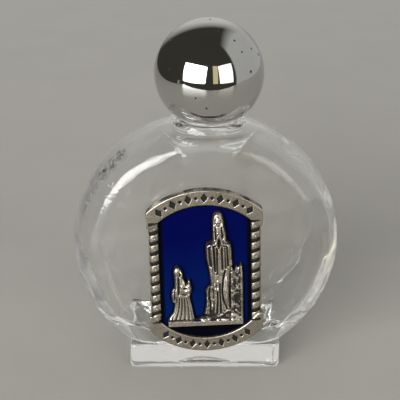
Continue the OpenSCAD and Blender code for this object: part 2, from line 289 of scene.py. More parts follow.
# Meshes from fields
def axis(*spans):
    """Grid positions along one axis, from spans of (start, end, step) that follow each other."""
    runs = [np.arange(start, end - step / 2, step) for start, end, step in spans]
    return np.concatenate(runs + [np.array([spans[-1][1]])])


def surface_net(field, axes):
    """Points and four-sided faces of a field's surface, one point in each grid cell that it crosses."""
    grid = np.meshgrid(*axes, indexing="ij")
    value = field(*grid)
    cells = tuple(n - 1 for n in value.shape)
    count = cells[0] * cells[1] * cells[2]
    hits = np.zeros(count)
    sums = np.zeros((3, count))
    faces = []
    for way in range(3):
        low = np.moveaxis(np.moveaxis(value, way, 0)[:-1], 0, way)
        high = np.moveaxis(np.moveaxis(value, way, 0)[1:], 0, way)
        crossed = (low < 0) != (high < 0)
        at = np.argwhere(crossed)
        from_inside = low[crossed] < 0
        share = low[crossed] / (low[crossed] - high[crossed])
        place = at.astype(float)
        place[:, way] += share
        side, up = (way + 1) % 3, (way + 2) % 3
        ring = []
        for step_side, step_up in ((0, 0), (-1, 0), (-1, -1), (0, -1)):
            cell = at.copy()
            cell[:, side] += step_side
            cell[:, up] += step_up
            flat = np.ravel_multi_index(cell.T, cells)
            hits += np.bincount(flat, minlength=count)
            for k in range(3):
                sums[k] += np.bincount(flat, weights=place[:, k], minlength=count)
            ring.append(flat)
        ring = np.stack(ring, axis=1)
        faces.append(np.where(from_inside[:, None], ring, ring[:, ::-1]))
    used = np.flatnonzero(hits)
    number = np.zeros(count, int)
    number[used] = np.arange(len(used))
    middle = sums[:, used] / hits[used]
    points = [np.interp(middle[k], np.arange(len(axes[k])), axes[k]) for k in range(3)]
    return np.stack(points, axis=1), number[np.concatenate(faces)]


def slope_of(field, points, reach=0.02):
    """How the field changes along each axis at each point."""
    slope = np.empty_like(points)
    for k in range(3):
        ahead = points.copy()
        behind = points.copy()
        ahead[:, k] += reach
        behind[:, k] -= reach
        slope[:, k] = (field(*ahead.T) - field(*behind.T)) / (2 * reach)
    return slope


def settle(field, points, stride):
    """Moves net points onto the surface itself in steps up to stride long. Gives them and their normals."""
    start = points
    for _ in range(3):
        slope = slope_of(field, points)
        steep = np.maximum((slope ** 2).sum(axis=1), 0.05)
        move = field(*points.T)[:, None] * slope / steep[:, None]
        length = np.maximum(np.linalg.norm(move, axis=1), 1e-9)
        points = points - move * np.minimum(1, stride / length)[:, None]
    better = np.abs(field(*points.T)) <= np.abs(field(*start.T))
    points = np.where(better[:, None], points, start)
    slope = slope_of(field, points)
    return points, slope / np.maximum(np.linalg.norm(slope, axis=1), 1e-9)[:, None]


def netted(field, axes, stride):
    """Points, faces and normals of a field's surface, settled in steps up to stride long."""
    points, faces = surface_net(field, axes)
    points, normals = settle(field, points, stride)
    return points, faces, normals


def hollowness(field, points, normals, reaches):
    """0 on open ground and ridges, up to 1 deep in a hollow, from how near other surfaces stand."""
    closed = np.zeros(len(points))
    for reach in reaches:
        seen = field(*(points + normals * reach).T)
        closed += np.clip(1 - seen / reach, 0, 1)
    return closed / len(reaches)


def make_mesh(name, points, faces, normals=None):
    """A smooth-shaded object from points in millimetres."""
    mesh = bpy.data.meshes.new(name)
    mesh.from_pydata((points * MM).tolist(), [], [list(face) for face in faces])
    mesh.update()
    mesh.shade_smooth()
    if normals is not None:
        mesh.normals_split_custom_set_from_vertices(normals.tolist())
    made = bpy.data.objects.new(name, mesh)
    bpy.context.scene.collection.objects.link(made)
    return made


def store(made, name, values):
    """Keeps one number for each point of a mesh, for its material to read."""
    kept = made.data.attributes.new(name, "FLOAT", "POINT")
    kept.data.foreach_set("value", np.asarray(values, np.float32))


def dress(made, material, body, node):
    """Gives a piece its material and the body it rides on, and hides the solid that it stands for."""
    made.data.materials.append(material)
    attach(made, body)
    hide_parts(node)


# Turned pieces
def unit(to, start):
    """Direction from one profile point to another."""
    way = np.array(to, float) - np.array(start, float)
    return way / np.linalg.norm(way)


def corner(before, at, after, size, steps=6):
    """Points that round off a corner of a profile."""
    start = np.array(at) + size * unit(before, at)
    end = np.array(at) + size * unit(after, at)
    t = np.linspace(0, 1, steps)[:, None]
    return ((1 - t) ** 2 * start + 2 * t * (1 - t) * np.array(at) + t ** 2 * end).tolist()


def turned(name, profile, sides):
    """Turns a profile of (radius, height) points about the Z axis. Ends at radius 0 close to a point."""
    angle = np.linspace(0, 2 * math.pi, sides, endpoint=False)
    points = []
    rings = []
    for r, z in profile:
        if r < 1e-6:
            rings.append([len(points)] * sides)
            points.append((0, 0, z))
        else:
            rings.append(list(range(len(points), len(points) + sides)))
            points += [(r * math.cos(a), r * math.sin(a), z) for a in angle]
    faces = []
    for low, high in zip(rings, rings[1:]):
        for i in range(sides):
            j = (i + 1) % sides
            face = [low[i], low[j], high[j], high[i]]
            faces.append(list(dict.fromkeys(face)))
    return make_mesh(name, np.array(points, float), faces)


# Glass flask
def neck_outside(r, z):
    """Mouth of the neck, without its thread, and the wider neck below the collar."""
    low = slab(r - NECK_LOW_R, z, BODY_Z, COLLAR_LOW_Z + 0.3, 0.2)
    return np.minimum(soft_max(r - NECK_R, BODY_Z - z, 0.4), low)


def boss_outside(r, y, z):
    """Round boss under the neck, as deep as the body, that squares off the body's edge."""
    boss = slab(r - BOSS_R, z, BODY_Z, BOSS_TOP_Z, BOSS_EDGE_R)
    return soft_max(boss, np.abs(y) - BODY_HALF + 0.02, BOSS_SIDE_R)


def slump(out):
    """How much the faces fall away towards the body's edge, by the distance from its middle."""
    return SLUMP * ease(SLUMP_FROM_R, SLUMP_FULL_R, out) * ease(SLUMP_END_R, SLUMP_LAST_R, out)


def glass_outside(x, y, z):
    """Body, foot, neck, collar and thread, without the space inside."""
    wave = np.sin(0.55 * x - 0.8 * z + 1.9) * np.sin(0.9 * x + 0.35 * z + 0.5)
    out = np.hypot(x, z - BODY_Z)
    body = oval_disc(out, y, BODY_R, BODY_HALF, EDGE_W) + slump(out) + WAVE_H * (1 + wave)
    foot = slab(round_rect(x, y, FOOT_HALF_W, FOOT_HALF_D, FOOT_CORNER_R), z, 0, FOOT_H, FOOT_EDGE_R)
    outside = soft_max(soft_min(body, foot, FOOT_FILLET), -z, SOLE_EDGE_R)
    r = np.hypot(x, y)
    outside = soft_min(outside, boss_outside(r, y, z), BOSS_FILLET)
    groove = np.exp(-((r - BOSS_R) / GROOVE_W) ** 2) * ease(GROOVE_FROM_Z, GROOVE_FULL_Z, z)
    outside = outside + GROOVE_DEPTH * (groove * ease(GROOVE_END_Z, GROOVE_LAST_Z, z))
    outside = soft_min(outside, neck_outside(r, z), NECK_FILLET)
    collar = slab(r - COLLAR_R, z, COLLAR_LOW_Z, COLLAR_TOP_Z, COLLAR_EDGE_R)
    outside = soft_min(outside, collar, COLLAR_FILLET)
    thread = helix_ridge(x, y, z, NECK_THREAD_Z, 0, NECK_TURNS, NECK_R, 1)
    outside = soft_min(outside, thread, THREAD_FILLET)
    return soft_max(outside, z - LIP_Z, LIP_EDGE_R)


def ripple(x, z):
    """Slow unevenness of a blown inner wall, with lumps over its floor and rings along its lower edge."""
    slow = np.sin(0.31 * x + 0.8) * np.sin(0.27 * z + 0.4)
    quick = np.sin(0.62 * x - 0.35 * z + 1.1) * np.sin(0.41 * x + 0.55 * z)
    low = np.sin(1.1 * x + 0.6 * z) * np.sin(0.9 * z - 0.5 * x + 0.7) * ease(15, 10, z)
    out = np.hypot(x, z - BODY_Z)
    rings = np.sin(2.1 * out + 0.6 * np.sin(0.45 * x)) * ease(18, 21, out) * ease(28, 20, z)
    return 0.1 * slow + 0.05 * quick + 0.24 * low + 0.07 * rings


def glass_field(x, y, z):
    """The flask with its water space and the hollow under its foot."""
    r = np.hypot(x, y)
    out = np.hypot(x, z - BODY_Z)
    cavity = oval_disc(out, y, CAVITY_R, CAVITY_HALF, CAVITY_EDGE_W) + slump(out + BODY_R - CAVITY_R)
    settled = SETTLED_T * ease(SETTLED_FROM_Z, SETTLED_FULL_Z, z) * ease(SETTLED_FROM_R, SETTLED_FULL_R, out)
    cavity = soft_max(cavity, FLOOR_Z - z, FLOOR_FILLET) + ripple(x, z) + settled
    bore = soft_max(r - BORE_R, BODY_Z - z, 1)
    space = soft_min(cavity, bore, SHOULDER_FILLET)
    glass = soft_max(glass_outside(x, y, z), -space, MOUTH_EDGE_R)
    arch_r = (RECESS_HALF_W ** 2 + RECESS_H ** 2) / (2 * RECESS_H)
    recess = np.hypot(x, z - RECESS_H + arch_r) - arch_r
    recess = soft_max(recess, np.abs(y) - RECESS_HALF_D, RECESS_EDGE_R)
    return soft_max(glass, -recess, RECESS_EDGE_R)


def make_glass():
    """The flask's mesh, finer round its neck and mouth."""
    axes = [
        axis((-28.5, -9.3, 0.5), (-9.3, 9.3, 0.31), (9.3, 28.6, 0.5)),
        axis((-10.05, -4.65, 0.3), (-4.65, 4.65, 0.42), (4.65, 10.06, 0.3)),
        axis((-0.9, 47, 0.5), (47, 63.7, 0.27)),
    ]
    points, faces, normals = netted(glass_field, axes, 0.3)
    points[:, 2] = np.maximum(points[:, 2], 0)
    return make_mesh("glass_flask_clear", points, faces, normals)


# Cap
def make_ball():
    """Ball with a rolled rim, a stepped socket and a hollow crown."""
    low = -math.acos(RIM_R / BALL_R)
    arc = np.linspace(math.pi / 2, low, 120)
    profile = [(BALL_R * math.cos(a), BALL_Z + BALL_R * math.sin(a)) for a in arc[:-2]]
    profile[0] = (0.0, BALL_Z + BALL_R)
    ledge_z = BALL_Z + math.sqrt(HOLLOW_R ** 2 - LEDGE_R ** 2)
    stops = [profile[-1], (RIM_R, RIM_Z), (SOCKET_R, RIM_Z), (SOCKET_R, SOCKET_TOP_Z),
             (LEDGE_R, SOCKET_TOP_Z), (LEDGE_R, ledge_z)]
    for before, at, after, size in zip(stops, stops[1:], stops[2:], BALL_CORNERS):
        profile += corner(before, at, after, size)
    crown = np.linspace(math.acos(LEDGE_R / HOLLOW_R), math.pi / 2, 24)
    profile += [(HOLLOW_R * math.cos(a), BALL_Z + HOLLOW_R * math.sin(a)) for a in crown]
    profile[-1] = (0.0, BALL_Z + HOLLOW_R)
    return turned("cap_shell_chromed", profile[::-1], 144)


def liner_field(x, y, z):
    """Cup with a thread inside and rounded edges."""
    r = np.hypot(x, y)
    cup = slab(r - LINER_R, z, LINER_LOW_Z, LINER_TOP_Z, LINER_EDGE_R)
    room = slab(r - LINER_IN_R, z, LINER_LOW_Z - 3, LINER_END_Z, 0.3)
    cup = soft_max(cup, -room, 0.2)
    first = (LINER_LOW_Z + ROOT_HALF + 0.1 - LINER_THREAD_Z) / PITCH
    thread = helix_ridge(x, y, z, LINER_THREAD_Z, first, LINER_TURNS, LINER_IN_R, -1)
    thread = np.maximum(thread, r - LINER_IN_R - 0.3)
    return soft_min(cup, thread, 0.2)


def make_liner():
    """The liner's mesh."""
    side = axis((-7.8, 7.81, 0.26))
    axes = [side, side, axis((54.3, 65.5, 0.24))]
    return make_mesh("cap_insert_threaded", *netted(liner_field, axes, 0.2))


def make_seal():
    """Wad with the ring that the lip has pressed into it."""
    ring = np.linspace(BORE_R - 0.3, NECK_R + 0.3, 18)
    share = (ring - ring[0]) / (ring[-1] - ring[0])
    press = list(zip(ring, SEAL_LOW_Z + SEAL_DENT * np.sin(math.pi * share) ** 2))
    profile = [(0.0, SEAL_LOW_Z)] + press
    profile += corner(press[-1], (SEAL_R, SEAL_LOW_Z), (SEAL_R, SEAL_TOP_Z), SEAL_EDGE_R)
    profile += corner((SEAL_R, SEAL_LOW_Z), (SEAL_R, SEAL_TOP_Z), (0, SEAL_TOP_Z), SEAL_EDGE_R)
    profile += [(SEAL_R / 2, SEAL_TOP_Z), (0.0, SEAL_TOP_Z)]
    return turned("cap_seal_wad", profile, 96)


# Plaque
def plaque_mesh(name, points, faces, normals):
    """A mesh taken from the plaque's own axes to the part's, leaned on the flask's front face."""
    c = math.cos(PLAQUE_LEAN)
    s = math.sin(PLAQUE_LEAN)
    up = points[:, 1] - PLAQUE_H / 2
    x = points[:, 0] * c - up * s + PLAQUE_X
    z = points[:, 0] * s + up * c + PLAQUE_H / 2 + PLAQUE_Z
    placed = np.stack([x, -BODY_HALF - points[:, 2], z], axis=1)
    turned_x = normals[:, 0] * c - normals[:, 1] * s
    turned_z = normals[:, 0] * s + normals[:, 1] * c
    return make_mesh(name, placed, faces, np.stack([turned_x, -normals[:, 2], turned_z], axis=1))


def arched_panel(u, v, half_w, top_r, low_r, corner_k):
    """Flat panel with straight sides and an arc at its top and bottom."""
    top = np.hypot(u, np.maximum(v - TOP_ARC_V, 0)) - top_r
    low = np.hypot(u, np.minimum(v - LOW_ARC_V, 0)) - low_r
    return soft_max(np.abs(u) - half_w, soft_max(top, low, corner_k), corner_k)


def motif_row(u, rise, outer_r, inner_r, pitch, lozenge, dot_r):
    """Row of lozenges with a dot between each two. Rise is from the middle of a banner's arc towards it."""
    middle_r = (outer_r + inner_r) / 2
    along = np.arctan2(u, rise) * middle_r
    across = np.hypot(u, rise) - middle_r
    place = np.clip(np.round(along / pitch), -MOTIFS_A_SIDE, MOTIFS_A_SIDE)
    gap = along - place * pitch
    is_dot = np.mod(place, 2) == 1
    rhomb = (np.abs(gap) / lozenge[0] + np.abs(across) / lozenge[1] - 1) * lozenge[0] * 0.8
    return np.where(is_dot, np.hypot(gap, across) - dot_r, rhomb)


def engraving(u, v):
    """The motifs of both banners, flat."""
    top = motif_row(u, v - TOP_ARC_V, TOP_ARC_R, TOP_POCKET_R, 1.62, (0.7, 1.0), 0.33)
    low = motif_row(u, LOW_ARC_V - v, LOW_ARC_R, LOW_POCKET_R, 1.5, (0.64, 0.96), 0.31)
    return np.where(v > (TOP_ARC_V + LOW_ARC_V) / 2, top, low)


def banner(u, v, arc_v, outer_r, inner_r, past_end):
    """Flat band between two arcs, cut off at the plaque's sides and where past_end is above 0."""
    r = np.hypot(u, v - arc_v)
    band = soft_max(r - outer_r, inner_r - r, BANNER_ARC_R)
    ends = soft_max(np.abs(u) - PLAQUE_HALF_W, past_end, BANNER_CORNER_R)
    return soft_max(band, ends, BANNER_CORNER_R)


def banners(u, v, w):
    """Upper and lower banner with bevelled edges and engraved motifs."""
    top = banner(u, v, TOP_ARC_V, TOP_ARC_R, TOP_POCKET_R, TOP_END_V - v)
    low = banner(u, v, LOW_ARC_V, LOW_ARC_R, LOW_POCKET_R, v - LOW_END_V)
    both = slab(np.minimum(top, low), w, PAD_T, BANNER_TOP, BANNER_EDGE_R)
    cut = np.maximum(engraving(u, v), BANNER_TOP - MOTIF_DEPTH - w)
    return soft_max(both, -cut, 0.1)


def strand_place(u, v):
    """Place across a rope column, and along its strand: 0 at the strand's middle and 1 in the gap."""
    x = np.abs(u) - COLUMN_U
    lean = np.where(u > 0, x, -x) * math.tan(STRAND_SLANT)
    pitch = (COLUMN_HIGH_V - COLUMN_LOW_V) / STRANDS
    turn = np.mod((v - COLUMN_LOW_V - lean) / pitch, 1)
    return x, np.abs(2 * turn - 1)


def rope_columns(u, v, w):
    """Column at each side, of slanting strands like flat cushions, with a small dimple in each."""
    x, from_middle = strand_place(u, v)
    gap = STRAND_GAP * ease(0.6, 0.76, from_middle)
    crown = STRAND_CROWN * from_middle ** 2 + COLUMN_CROWN * (x / COLUMN_R) ** 2
    dimple = DIMPLE_DEPTH * ease(0.3, 0.08, np.hypot(from_middle, x / 0.8))
    top = COLUMN_AXIS_W + COLUMN_R - gap - crown - dimple
    column = slab(np.abs(x) - COLUMN_R + 0.3 * gap, w, PAD_T + 0.1, top, 0.3)
    ends = soft_max(COLUMN_LOW_V - 0.6 - v, v - COLUMN_HIGH_V - 0.6, 0.1)
    return soft_max(column, ends, 0.3)


def frame_field(u, v, w):
    """Back plate, banners and rope columns, cast in one."""
    panel = arched_panel(u, v, PLAQUE_HALF_W - PLATE_INSET, TOP_ARC_R, LOW_ARC_R, BANNER_CORNER_R)
    plate = slab(panel, w, PAD_T, PLATE_TOP, PLATE_EDGE_R)
    raised = soft_min(banners(u, v, w), rope_columns(u, v, w), 0.15)
    return soft_min(plate, raised, 0.2)


def enamel_panel(u, v):
    """Outline of the blue field."""
    half_w = POCKET_HALF_W - ENAMEL_GAP
    return arched_panel(u, v, half_w, TOP_POCKET_R - ENAMEL_GAP, LOW_POCKET_R - ENAMEL_GAP, 0.3)


def enamel_field(u, v, w):
    """Blue field, drawn up a little where it meets the frame."""
    outline = enamel_panel(u, v)
    rise = ENAMEL_RISE * np.exp(outline / 0.35)
    return slab(outline, w, PLATE_TOP, ENAMEL_TOP + np.minimum(rise, ENAMEL_RISE), 0.04)


def pad_field(u, v, w):
    """Adhesive pad, squeezed unevenly towards its edge."""
    half_w = PLAQUE_HALF_W - PAD_INSET
    outline = arched_panel(u, v, half_w, TOP_ARC_R - PAD_ARC_INSET, LOW_ARC_R - PAD_ARC_INSET, 1)
    uneven = 0.35 + 0.2 * np.sin(0.9 * u + 0.4 * v) + 0.15 * np.sin(1.7 * v - 1.1 * u + 1)
    return slab(outline + uneven, w, 0.02, PAD_T + 0.05, 0.1)


# Cast group. It is a map of heights over the enamel, as a casting from a one-sided mould has no undercuts.
def mass(flat, height, round_w):
    """Solid inside a flat outline: a short upright wall and then a rounded top."""
    inside = np.clip(-flat / round_w, 0, 1)
    return np.where(flat < 0, 0.35 + (height - 0.35) * np.sqrt(inside * (2 - inside)), SUNK)


def line_distance(x, t, line):
    """Distance to a line drawn through points."""
    nearest = np.full(np.shape(x), 9.0)
    for (ax, at), (bx, bt) in zip(line, line[1:]):
        step_x = bx - ax
        step_t = bt - at
        along = np.clip(((x - ax) * step_x + (t - at) * step_t) / (step_x ** 2 + step_t ** 2), 0, 1)
        nearest = np.minimum(nearest, np.hypot(x - ax - along * step_x, t - at - along * step_t))
    return nearest


def fold(x, t, rise, half, *line):
    """Rounded ridge along a line."""
    return rise * np.clip(1 - (line_distance(x, t, line) / half) ** 2, 0, 1)


def crease(x, t, depth, half, *line):
    """Sharp-bottomed groove along a line."""
    return -depth * np.clip(1 - line_distance(x, t, line) / half, 0, 1)


def dome(x, t, rise, middle, radii):
    """Round swelling."""
    away = ((x - middle[0]) / radii[0]) ** 2 + ((t - middle[1]) / radii[1]) ** 2
    return rise * np.sqrt(np.clip(1 - away, 0, 1))


def worked(x, t, top, rows):
    """Heights with forms added to them in turn. A row is the form's function and its values."""
    for form, *values in rows:
        top = top + form(x, t, *values)
    return top


def chance(i, j):
    """A fixed value between 0 and 1 for each pair of whole numbers."""
    mixed = np.sin(i * 127.1 + j * 311.7) * 43758.5453
    return mixed - np.floor(mixed)


def lumpy(x, t, size):
    """Uneven ground between -1 and 1, with lumps about as wide as size."""
    i = np.floor(x / size)
    j = np.floor(t / size)
    a = ease(0, 1, x / size - i)
    b = ease(0, 1, t / size - j)
    low = chance(i, j) * (1 - a) + chance(i + 1, j) * a
    high = chance(i, j + 1) * (1 - a) + chance(i + 1, j + 1) * a
    return 2 * (low * (1 - b) + high * b) - 1


def calm_face(x, t, top, middle, half_w, half_h, front):
    """Plain face: eyes at half its height, nose to three quarters, mouth below it."""
    u, v = middle
    face = front - 0.6 + dome(x, t, 0.6, middle, (half_w, half_h))
    face = face + fold(x, t, 0.13, 0.12, (u, v), (u, v - 0.42 * half_h))
    for side in (-1, 1):
        face = face + crease(x, t, 0.14, 0.17, (u + side * 0.34 * half_w, v), (u + side * 0.5 * half_w, v))
    face = face + crease(x, t, 0.1, 0.1, (u - 0.14, v - 0.6 * half_h), (u + 0.14, v - 0.6 * half_h))
    return np.where(np.hypot((x - u) / half_w, (t - v) / half_h) < 1, np.maximum(top, face), top)


def tall_figure(x, t):
    """Standing figure in a long mantle and veil, hands joined."""
    outline = [
        (1.2, 2.2), (5.0, 2.2), (5.0, 6), (5.05, 9), (5.1, 12), (5.3, 13.4), (5.72, 14), (5.6, 16.6),
        (5.45, 18.6), (5.3, 19.35), (4.85, 19.65), (4.5, 19.9), (4.45, 21.6), (4.15, 23.2), (4.0, 24.8),
        (3.75, 25.8), (3.3, 26.3), (2.72, 26.45), (2.15, 26.3), (1.72, 25.7), (1.55, 24.8), (1.6, 23.2),
        (1.6, 20), (1.1, 19.65), (0.45, 19.4), (0.12, 18.9), (0.1, 18.2), (0.2, 15.8), (0.62, 13.5),
        (0.88, 11.8), (1.0, 10.4), (1.2, 8), (1.25, 5)]
    flat = flat_polygon(x, t, outline)
    top = mass(flat, 1.1, 1.0) + dome(x, t, 0.3, (2.85, 18), (2.8, 6))
    # Veil round the face and down over the shoulders
    veil = [
        (fold, 0.19, 0.3, (1.8, 22.4), (1.83, 24.3), (2.1, 25.5), (2.72, 25.95), (3.35, 25.5), (3.66, 24.3),
         (3.8, 22.4), (4.15, 21.4), (4.2, 19.9)),
        (fold, 0.17, 0.28, (1.8, 22.4), (1.86, 21.2), (1.9, 19.9)),
        (crease, 0.4, 0.24, (2.2, 23), (2.2, 20.5)),
        (crease, 0.4, 0.26, (3.42, 23), (3.62, 20.7)),
        (crease, 0.25, 0.22, (2.35, 23.35), (3.1, 23.35))]
    sleeves = [
        (fold, 0.36, 0.34, (0.42, 18.8), (0.6, 19.1), (1.5, 19.3), (2.2, 19.45)),
        (fold, 0.36, 0.34, (5.2, 18.9), (4.9, 19.15), (4.2, 19.25), (3.5, 19.45))]
    # Joined hands, and the shadows below them and below the sleeves
    palms = 2.86
    hands = [
        (fold, 0.42, 0.3, (palms + side * 0.7, 19.5), (palms + side * 0.42, 20.3),
         (palms + side * 0.12, 21.5))
        for side in (-1, 1)]
    hands += [
        (crease, 0.75, 0.32, (palms, 18.6), (palms, 20.2)),
        (crease, 0.4, 0.2, (0.9, 18.7), (2.2, 18.95)),
        (crease, 0.4, 0.2, (4.75, 18.7), (3.5, 18.95))]
    # Outer and front edges of the mantle, with the lining between them in shadow
    mantle = [
        (fold, 0.15, 0.26, (0.36, 18.9), (0.42, 15.8), (0.84, 13.5), (1.08, 11.8)),
        (fold, 0.26, 0.25, (1.32, 19.2), (1.48, 16.1), (1.68, 12.7), (1.8, 9.8)),
        (fold, 0.19, 0.22, (4.78, 19), (4.92, 16.5), (5.05, 14.2)),
        (fold, 0.12, 0.25, (5.28, 19), (5.4, 16.6), (5.5, 14.3)),
        (crease, 0.55, 0.32, (0.82, 18.5), (0.92, 16.6), (1.14, 14.2)),
        (crease, 0.5, 0.22, (1.75, 18.9), (1.87, 16), (1.97, 13)),
        (crease, 0.55, 0.22, (4.5, 18.9), (4.6, 16.4), (4.72, 14))]
    # Sash and hanging folds
    robe = [
        (fold, 0.22, 0.3, (2.88, 18.2), (2.9, 17.5)),
        (fold, 0.14, 0.18, (2.82, 17.5), (2.7, 15), (2.62, 12.6)),
        (fold, 0.14, 0.18, (2.98, 17.5), (3.12, 15), (3.2, 12.8)),
        (fold, 0.12, 0.17, (2.1, 18.8), (2.17, 15.6), (2.22, 12.6), (2.1, 10)),
        (fold, 0.14, 0.17, (3.74, 18.8), (3.82, 16), (3.85, 13.4)),
        (crease, 0.45, 0.2, (2.42, 18.4), (2.44, 15.5), (2.42, 12.2)),
        (crease, 0.5, 0.2, (3.42, 18.6), (3.48, 16), (3.52, 13.2)),
        (crease, 0.4, 0.18, (4.08, 18.9), (4.14, 16), (4.2, 13.6))]
    knee_and_skirt = [
        (fold, 0.25, 0.36, (1.8, 9.9), (1.95, 9.05), (2.3, 8.6)),
        (fold, 0.19, 0.26, (2.05, 8.8), (2.12, 6.2), (1.85, 3.2)),
        (fold, 0.19, 0.26, (2.55, 10.6), (2.72, 7), (2.65, 3.2)),
        (fold, 0.22, 0.26, (3.52, 13.2), (3.32, 11.4), (3.15, 9), (3.25, 6.4), (3.5, 3.6)),
        (crease, 0.45, 0.2, (1.5, 8.6), (1.62, 6), (1.5, 3)),
        (crease, 0.45, 0.18, (2.42, 8.2), (2.45, 6), (2.28, 3.2)),
        (crease, 0.45, 0.18, (2.95, 10), (3.0, 7), (3.08, 3.6))]
    top = worked(x, t, top, veil + sleeves + hands + mantle + robe + knee_and_skirt)
    # Smooth fold that hangs down its right side, and the groove along it
    drape = [
        (4.31, 12.8), (3.85, 10.8), (3.62, 8.4), (3.8, 6.6), (4.5, 4.4), (4.9, 6.5), (4.95, 8.4),
        (4.85, 10.8)]
    top = np.maximum(top, mass(flat_polygon(x, t, drape), 1.35, 0.6))
    top = top + crease(x, t, 0.55, 0.24, (4.05, 13), (3.6, 10.8), (3.4, 8.4), (3.6, 6.3), (4.35, 4.1))
    top = calm_face(x, t, top, (2.72, 24.6), 0.68, 0.98, 1.6)
    return np.where(flat < 0, top, SUNK)


def kneeling_figure(x, t):
    """Kneeling figure in a shawl and a wide skirt, seen from the side, holding a taper."""
    outline = [
        (-7.9, 1.2), (-2.4, 1.2), (-2.5, 2), (-2.8, 3.5), (-3.05, 5.1), (-3.4, 6.6), (-3.3, 7.4),
        (-2.95, 8.2), (-2.92, 9.2), (-3.15, 10), (-3.25, 10.7), (-3.45, 11.1), (-3.75, 11), (-3.9, 10.2),
        (-4.2, 9.8), (-4.5, 10.8), (-4.7, 11.6), (-4.72, 12.4), (-4.85, 12.9), (-5.1, 13.4), (-5.4, 14),
        (-5.92, 14.3), (-6.4, 13.9), (-6.68, 13.2), (-6.65, 12.1), (-6.55, 10.2), (-6.6, 9.2), (-7, 8.6),
        (-7.27, 7.8), (-7.25, 6.6), (-7.02, 5.7), (-6.6, 5.5), (-6.65, 4.6), (-6.95, 3.2), (-7.9, 1.9)]
    flat = flat_polygon(x, t, outline)
    top = mass(flat, 1.0, 0.75)
    # Skirt, in folds that spread from the waist to the hem
    drop = np.clip((7.3 - t) / 5.4, 0, 1)
    left = -6.3 - 1.3 * drop ** 2
    right = -3.6 + 0.95 * drop
    side = (x - left) / (right - left)
    hang = np.abs(np.cos(5.5 * math.pi * side + 0.4))
    top = top - 0.42 * (1 - hang) ** 1.5 * ease(7.4, 6.4, t) * ease(1.3, 2.2, t)
    # Shawl down the back, and the bundle behind it
    shawl = [
        (fold, 0.28, 0.38, (-6.0, 13.2), (-6.12, 12.2), (-6.2, 10), (-6.2, 8.8), (-6.3, 7.4)),
        (fold, 0.19, 0.34, (-6.92, 8.1), (-7.0, 6.2)),
        (crease, 0.4, 0.2, (-6.62, 8.9), (-6.66, 6)),
        (crease, 0.4, 0.2, (-5.68, 11.6), (-5.72, 9.8), (-5.75, 7.6))]
    breast_and_arms = [
        (fold, 0.19, 0.4, (-5.25, 11.6), (-5.05, 10), (-5.2, 8.6)),
        (fold, 0.22, 0.34, (-5.1, 9.6), (-4.4, 8.3), (-3.6, 8.8)),
        (fold, 0.19, 0.3, (-4.6, 9.9), (-3.7, 9.3)),
        (dome, 0.35, (-3.4, 8.9), (0.45, 0.8)),
        (crease, 0.45, 0.22, (-4.75, 9.1), (-4.2, 9.1)),
        (crease, 0.45, 0.24, (-5.0, 7.7), (-4.2, 7.5), (-3.5, 7.7)),
        (fold, 0.22, 0.3, (-3.55, 9.4), (-3.5, 10.8))]
    top = worked(x, t, top, shawl + breast_and_arms)
    # Head in a scarf, face to the right
    top = np.maximum(top, np.where(flat < 0, 0.7 + dome(x, t, 0.75, (-5.9, 13.1), (0.8, 1.15)), SUNK))
    top = top + crease(x, t, 0.3, 0.16, (-5.35, 13.6), (-5.5, 12.6), (-5.35, 11.9))
    top = calm_face(x, t, top, (-5.0, 12.65), 0.36, 0.62, 1.35)
    return np.where(flat < 0, top, SUNK)


def ground(x, t):
    """Base strip, the rocks on both sides of the tall figure and the mound below it."""
    broken = 0.2 * lumpy(x, t, 1.1) + 0.22 * lumpy(x + 3.3, t + 1.7, 0.52)
    right = [
        (5.15, 1), (5.15, 13.1), (5.45, 13.7), (5.75, 13.2), (6, 12.7), (6.25, 13.6), (6.45, 14.1),
        (6.75, 13.6), (7.1, 13.9), (7.45, 14.6), (7.7, 13.9), (7.88, 12), (7.88, 1)]
    rocks = mass(flat_polygon(x, t, right), 0.95, 0.35)
    rocks = rocks + np.where(rocks > 0, broken * ease(7.4, 7.1, x), 0)
    rocks = rocks + np.where(rocks > 0, fold(x, t, 0.25, 0.36, (7.5, 14), (7.55, 8), (7.55, 1.6)), 0)
    left = [
        (2, 2), (2, 9.2), (0.9, 9.45), (0.45, 9.1), (-0.08, 8.3), (0.1, 7), (0.1, 5.6), (-0.2, 4),
        (-0.4, 2.6)]
    crag = mass(flat_polygon(x, t, left), 0.85, 0.35)
    cracks = worked(x, t, 0, [
        (crease, 0.5, 0.24, (0.8, 8.9), (0.68, 7), (0.95, 5), (0.85, 3)),
        (crease, 0.4, 0.2, (0.3, 6.8), (0.9, 6.1)),
        (fold, 0.25, 0.22, (0.35, 8.6), (0.3, 6), (0.05, 3))])
    crag = crag + np.where(crag > 0, cracks + 0.6 * broken, 0)
    heap = [(-2.2, 0.9), (7.4, 0.9), (7.2, 2.6), (6.1, 3.4), (4.8, 4.3), (2.2, 2.95), (0, 2.3), (-1.2, 1.95)]
    mound = mass(flat_polygon(x, t, heap), 1.15, 0.5)
    swell = fold(x, t, 0.4, 0.5, (-0.2, 1.7), (1, 2.05), (2.2, 2.5), (3.6, 3.2), (4.6, 3.85), (5.3, 3.9))
    mound = mound + np.where(mound > 0, swell + 0.7 * broken, 0)
    bar = [(-8.15, 0.1), (7.86, 0.3), (7.86, 1.45), (-8.15, 1.6)]
    strip = mass(flat_polygon(x, t, bar), 1.45, 0.16)
    return np.maximum(np.maximum(rocks, crag), np.maximum(mound, strip))


